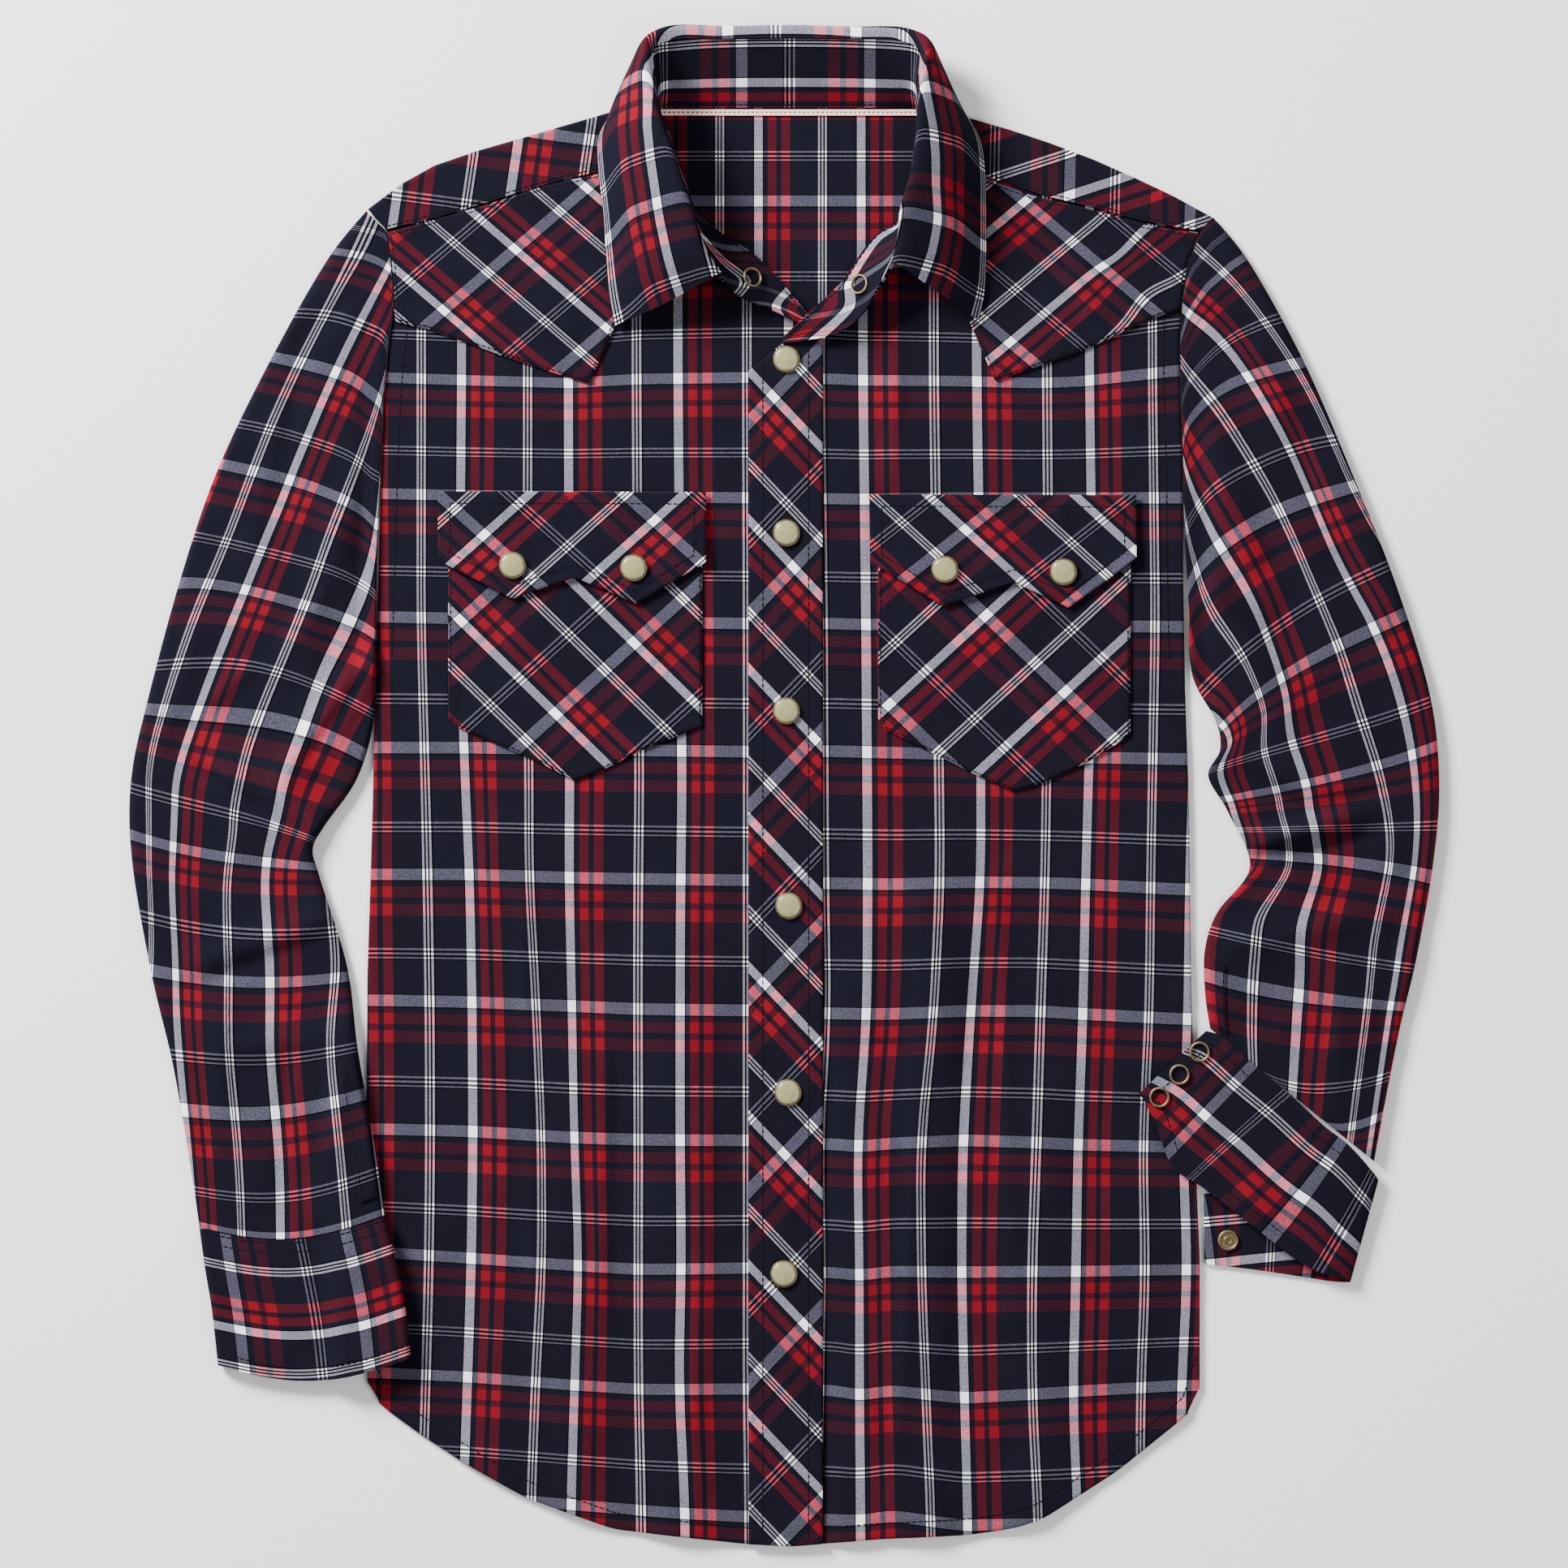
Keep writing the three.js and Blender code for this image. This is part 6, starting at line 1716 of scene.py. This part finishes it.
@dataclass
class OpenCuff:
    """Cuff of the wearer's left sleeve, unsnapped and folded back on itself."""

    tailor: Tailor
    wall: float = 1.6
    stitch: float = 6.5
    columns: int = 150
    column_margin: float = 0.008
    rows: int = 50
    raised: float = 3.0
    wave: tuple[int, float, float] = (71, 30.0, 0.18)
    white_down: float = 36.4
    white_along: float = 30.3
    along_scale: float = 1.089
    slant: float = 7.1
    upper_share: tuple[int, int] = (6, 11)

    def build(self) -> None:
        """Makes the cuff."""
        station = close_ends(self.columns, self.column_margin)[None, :]
        t = close_ends(self.rows)[:, None]
        row = {name: CUFF_LEFT.smooth(name, station) for name in CUFF_LEFT.names}
        x, y, z = (mix(row[f"top_{axis}"], row[f"low_{axis}"], t) for axis in "xyz")
        z = z + np.where(z > self.raised, waves(x, y, *self.wave), 0)
        grid = np.stack([x, y, np.maximum(self.wall / 2, z)], -1)
        depth = lengths(grid, 0)
        along = lengths(grid, 1)[:1]
        u = WARP_WHITE + depth - self.white_down
        v = WEFT_WHITE - (along - self.white_along) * self.along_scale - self.slant * t
        shell = Shell.about_middle(grid, self.wall, np.stack([u, v], -1))
        thread = Thread("stitches_cuff_left")
        share, whole = self.upper_share
        shown = shell.upper[:, : station.shape[1] * share // whole]
        sides = (Side.FIRST_ROW, Side.LAST_ROW, Side.FIRST_COLUMN)
        thread.follow(shown, sides, self.stitch, self.stitch)
        self.tailor.cloth("cuff_left", shell, thread)


@dataclass
class Collar:
    """Stand round the neck, the leaf that folds over it, and the tape on the back seam."""

    tailor: Tailor
    wall: float = 1.7
    stitch: float = 6.5
    count: int = 250
    leaf_rows: int = 22
    leaf_rise: float = 1.1
    leaf_back: tuple[float, float] = (368.0, 386.0)
    leaf_back_rows: int = 8
    leaf_edge_u: float = 42.5
    leaf_back_shift: float = 4.5
    leaf_white: float = 37.3
    leaf_wave: tuple[int, float, float] = (81, 34.0, 0.12)
    stand_rows: int = 16
    stand_row_margin: float = 0.05
    stand_fronts: tuple[float, float] = (330.0, 290.0)
    stand_ends: tuple[float, float] = (244.0, 262.0)
    stand_turns: tuple[float, float] = (20.0, 10.0)
    stand_seam_u: float = 16.75
    stand_white: float = 44.5
    seam_stitch: float = 1.5
    tape_x: tuple[float, float, int] = (-65.0, 69.3, 60)
    tape_y: tuple[float, float, int] = (349.0, 345.9, 6)
    tape_z: float = 1.5
    tape_wall: float = 0.7

    @staticmethod
    def round_neck(grid: np.ndarray, white_at: float) -> np.ndarray:
        """Works out the cloth coordinate round the neck.

        Args:
            grid: middle surface, whose rows run round the neck.
            white_at: place across of a white stripe at the back.

        Returns:
            The coordinate at each point.
        """
        along = lengths(grid, 1)
        third = slice(grid.shape[1] * 2 // 5, grid.shape[1] * 7 // 10)
        start = [np.interp(white_at, row[third, 0], walk[third]) for row, walk in zip(grid, along)]
        return WEFT_WHITE + np.array(start)[:, None] - along

    def build_leaf(self) -> None:
        """Makes the leaf."""
        root = STAND_TOP.data[LEAF_ON_STAND] + np.array([0, 0, self.leaf_rise])
        tables = (root, LEAF_FOLD.data, LEAF_BELLY.data, LEAF_EDGE.data)
        lines = np.array([curve(np.array(points), self.leaf_rows) for points in zip(*tables)])
        grid = np.array([curve(lines[:, r], self.count) for r in range(self.leaf_rows)])
        walk = lengths(grid, 0)
        highest = grid[: self.leaf_back_rows, :, 1].max(axis=0)
        at_back = smooth_step(*self.leaf_back, highest)[None, :]
        u = self.leaf_edge_u + self.leaf_back_shift * at_back - (walk[-1:] - walk)
        v = self.round_neck(grid, self.leaf_white)
        grid[..., 2] += waves(grid[..., 0], grid[..., 1], *self.leaf_wave)
        grid[..., 2] = np.maximum(grid[..., 2], self.wall / 2)
        shell = Shell.about_middle(grid, self.wall, np.stack([u, v], -1))
        thread = Thread("stitches_collar_leaf")
        sides = (Side.LAST_ROW, Side.FIRST_COLUMN, Side.LAST_COLUMN)
        thread.follow(shell.upper, sides, self.stitch, self.stitch)
        self.tailor.cloth("collar_leaf", shell, thread)

    def build_stand(self) -> None:
        """Makes the stand."""
        seam, top = curve(STAND_SEAM.data, self.count), curve(STAND_TOP.data, self.count)
        t = close_ends(self.stand_rows, self.stand_row_margin)[:, None, None]
        grid = mix(top[None], seam[None], t)
        walk = lengths(grid, 0)
        y = grid[..., 1]
        ends = smooth_step(*self.stand_fronts, y) * smooth_step(*self.stand_ends, y)
        turn = np.where(np.arange(self.count) < self.count / 2, *self.stand_turns)
        u = self.stand_seam_u - (walk[-1:] - walk) - ends * turn
        v = self.round_neck(grid, self.stand_white)
        shell = Shell.about_middle(grid, self.wall, np.stack([u, v], -1))
        thread = Thread("stitches_collar_stand")
        thread.follow(shell.upper, (Side.LAST_ROW,), self.seam_stitch)
        self.tailor.cloth("collar_stand", shell, thread)

    def build_tape(self) -> None:
        """Makes the tape over the back neck seam."""
        x, y = np.meshgrid(np.linspace(*self.tape_x), np.linspace(*self.tape_y))
        grid = np.stack([x, y, np.full_like(x, self.tape_z)], -1)
        weave = np.stack([x, y - self.tape_y[1]], -1)
        upper = grid + np.array([0, 0, self.tape_wall])
        self.tailor.cloth("neck_tape", Shell(upper, grid, weave))

    def build(self) -> None:
        """Makes the collar."""
        self.build_leaf()
        self.build_stand()
        self.build_tape()


class Profile(Enum):
    """Outlines of the turned snap parts, as (radius, height) from the axis."""

    RIM = ((6.3, 0.1), (6.4, 0.8), (6.6, 1.0), (6.85, 0.95), (7.05, 0.6), (7.1, 0.2), (7.05, 0.0),
           (6.3, 0.0))
    PEARL = ((0, 2.3), (2.0, 2.25), (3.6, 2.1), (4.8, 1.9), (5.6, 1.65), (6.05, 1.35), (6.3, 0.9),
             (6.35, 0.3), (6.3, 0.0), (0, 0.0))
    RING = ((4.0, 0.2), (4.15, 0.8), (4.5, 1.05), (4.9, 1.1), (5.25, 0.85), (5.4, 0.4), (5.35, 0.0),
            (4.0, 0.0))
    STUD = ((0, 0.35), (1.2, 0.35), (1.35, 1.0), (1.7, 1.25), (2.1, 1.1), (2.3, 0.45), (3.9, 0.4),
            (4.1, 0.95), (4.6, 1.1), (5.1, 0.9), (5.4, 0.4), (5.35, 0.0), (0, 0.0))


# Profile and slot of a solid whose name has the word in it
SNAP_KINDS = (
    ("_rim", Profile.RIM, Slot.METAL), ("_pearl", Profile.PEARL, Slot.PEARL),
    ("ring", Profile.RING, Slot.METAL), ("cuff_stud", Profile.STUD, Slot.METAL),
)


@dataclass
class Snaps:
    """Pearl caps, rings and the stud, each placed on its solid."""

    tailor: Tailor
    sides: int = 44
    hidden_size: float = 0.8
    sharp: float = 60.0
    meet: float = 1e-6

    def turned(self, name: str, profile: Profile, origin: np.ndarray, axis: Vector,
               size: float) -> bpy.types.Object:
        """Turns an outline round an axis.

        Args:
            name: object name.
            profile: its outline.
            origin: foot of the axis, in metres.
            axis: direction of the top.
            size: scale of the outline.

        Returns:
            The object.
        """
        outline = np.array(profile.value) * size
        closed = outline[0, 0] > 0
        angle = np.linspace(0, 2 * math.pi, self.sides, endpoint=False)
        count = len(outline)
        points = np.stack([
            outline[:, None, 0] * np.cos(angle), outline[:, None, 0] * np.sin(angle),
            outline[:, None, 1] + 0 * angle], -1)
        turn = np.array(axis.to_track_quat("Z", "Y").to_matrix())
        placed = points.reshape(-1, 3) * MM @ turn.T + origin
        rows = count if closed else count - 1
        r, c = np.meshgrid(np.arange(rows), np.arange(self.sides), indexing="ij")
        nr, nc = (r + 1) % count, (c + 1) % self.sides
        corners = np.stack([r * self.sides + c, nr * self.sides + c, nr * self.sides + nc,
                            r * self.sides + nc], -1).reshape(-1, 4)
        here, after = np.stack([c, outline[r, 0]], -1), np.stack([c, outline[nr, 0]], -1)
        weave = np.stack([here, after, after, here], 2).reshape(-1, 4, 2).astype(float)
        thing = solid(name, placed, corners, weave, self.sharp)
        if not closed:
            self.weld(thing)
        return thing

    def weld(self, thing: bpy.types.Object) -> None:
        """Joins the points that meet on the axis."""
        form = bmesh.new()
        form.from_mesh(thing.data)
        bmesh.ops.remove_doubles(form, verts=form.verts, dist=self.meet)
        bmesh.ops.dissolve_degenerate(form, edges=form.edges, dist=self.meet / 10)
        form.to_mesh(thing.data)
        form.free()

    def build(self) -> None:
        """Makes every snap part that the frame has a solid for."""
        made = 0
        for name, node in sorted(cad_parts.items()):
            kind = next((row[1:] for row in SNAP_KINDS if row[0] in name), None)
            if kind is None:
                continue
            profile, slot = kind
            points = np.array([node.matrix_world @ v.co for v in node.data.vertices])
            middle = points.mean(axis=0)
            axis = np.linalg.svd(points - middle, full_matrices=False)[2][2]
            hidden = name.startswith("cuff_snap_right")
            if axis[2] * (-1 if hidden else 1) < 0:
                axis = -axis
            foot = middle + axis * ((points - middle) @ axis).min()
            size = self.hidden_size if hidden else 1.0
            thing = self.turned(f"part_{name}", profile, foot, Vector(axis), size)
            self.tailor.part(thing, name, slot)
            made += 1
        LOG.info("snaps: %d parts", made)


@dataclass
class Studio:
    """Pale floor, soft lights and a camera straight above."""

    tailor: Tailor
    shown: float = 0.8114
    camera_height: float = 6.0
    sensor: float = 36.0
    view_end: float = 20.0
    floor_half: float = 3.0
    floor_z: float = -0.0004
    world_strength: float = 0.45

    @staticmethod
    def light(name: str, place: tuple[float, float, float], size: float, power: float) -> None:
        """Adds a soft square light that faces the shirt."""
        lamp = bpy.data.lights.new(name, "AREA")
        lamp.energy, lamp.size = power, size
        thing = bpy.data.objects.new(name, lamp)
        thing.location = place
        thing.rotation_euler = (-Vector(place)).to_track_quat("-Z", "Y").to_euler()
        bpy.context.scene.collection.objects.link(thing)

    def build(self) -> None:
        """Makes the floor, the lights, the world and the camera."""
        half, low = self.floor_half, self.floor_z
        mesh = bpy.data.meshes.new("floor")
        mesh.from_pydata([(-half, -half, low), (half, -half, low), (half, half, low),
                          (-half, half, low)], [], [(0, 1, 2, 3)])
        mesh.materials.append(self.tailor.floor)
        floor = bpy.data.objects.new("floor", mesh)
        bpy.context.scene.collection.objects.link(floor)
        self.light("key", (-2.0, 1.9, 1.5), 1.0, 380.0)
        self.light("fill", (2.2, -1.2, 2.6), 2.4, 66.0)
        world = bpy.data.worlds.new("studio")
        world.use_nodes = True
        sky = world.node_tree.nodes["Background"]
        sky.inputs["Color"].default_value = (1, 1, 1, 1)
        sky.inputs["Strength"].default_value = self.world_strength
        bpy.context.scene.world = world
        lens = bpy.data.cameras.new("camera")
        lens.sensor_width = self.sensor
        lens.lens = self.sensor * self.camera_height / self.shown
        lens.clip_end = self.view_end
        camera = bpy.data.objects.new("camera", lens)
        camera.location = (0, 0, self.camera_height)
        bpy.context.scene.collection.objects.link(camera)
        bpy.context.scene.camera = camera


def main() -> None:
    """Builds the shirt, piece by piece."""
    logging.basicConfig(level=logging.INFO, format="%(name)s %(message)s")
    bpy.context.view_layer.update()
    tailor = Tailor()
    for assembly in (Body, Yokes, Pockets, Placket, Sleeves, OpenCuff, Collar, Snaps, Studio):
        assembly(tailor).build()
        LOG.info("%s done", assembly.__name__)


if __name__ == "__main__":
    main()
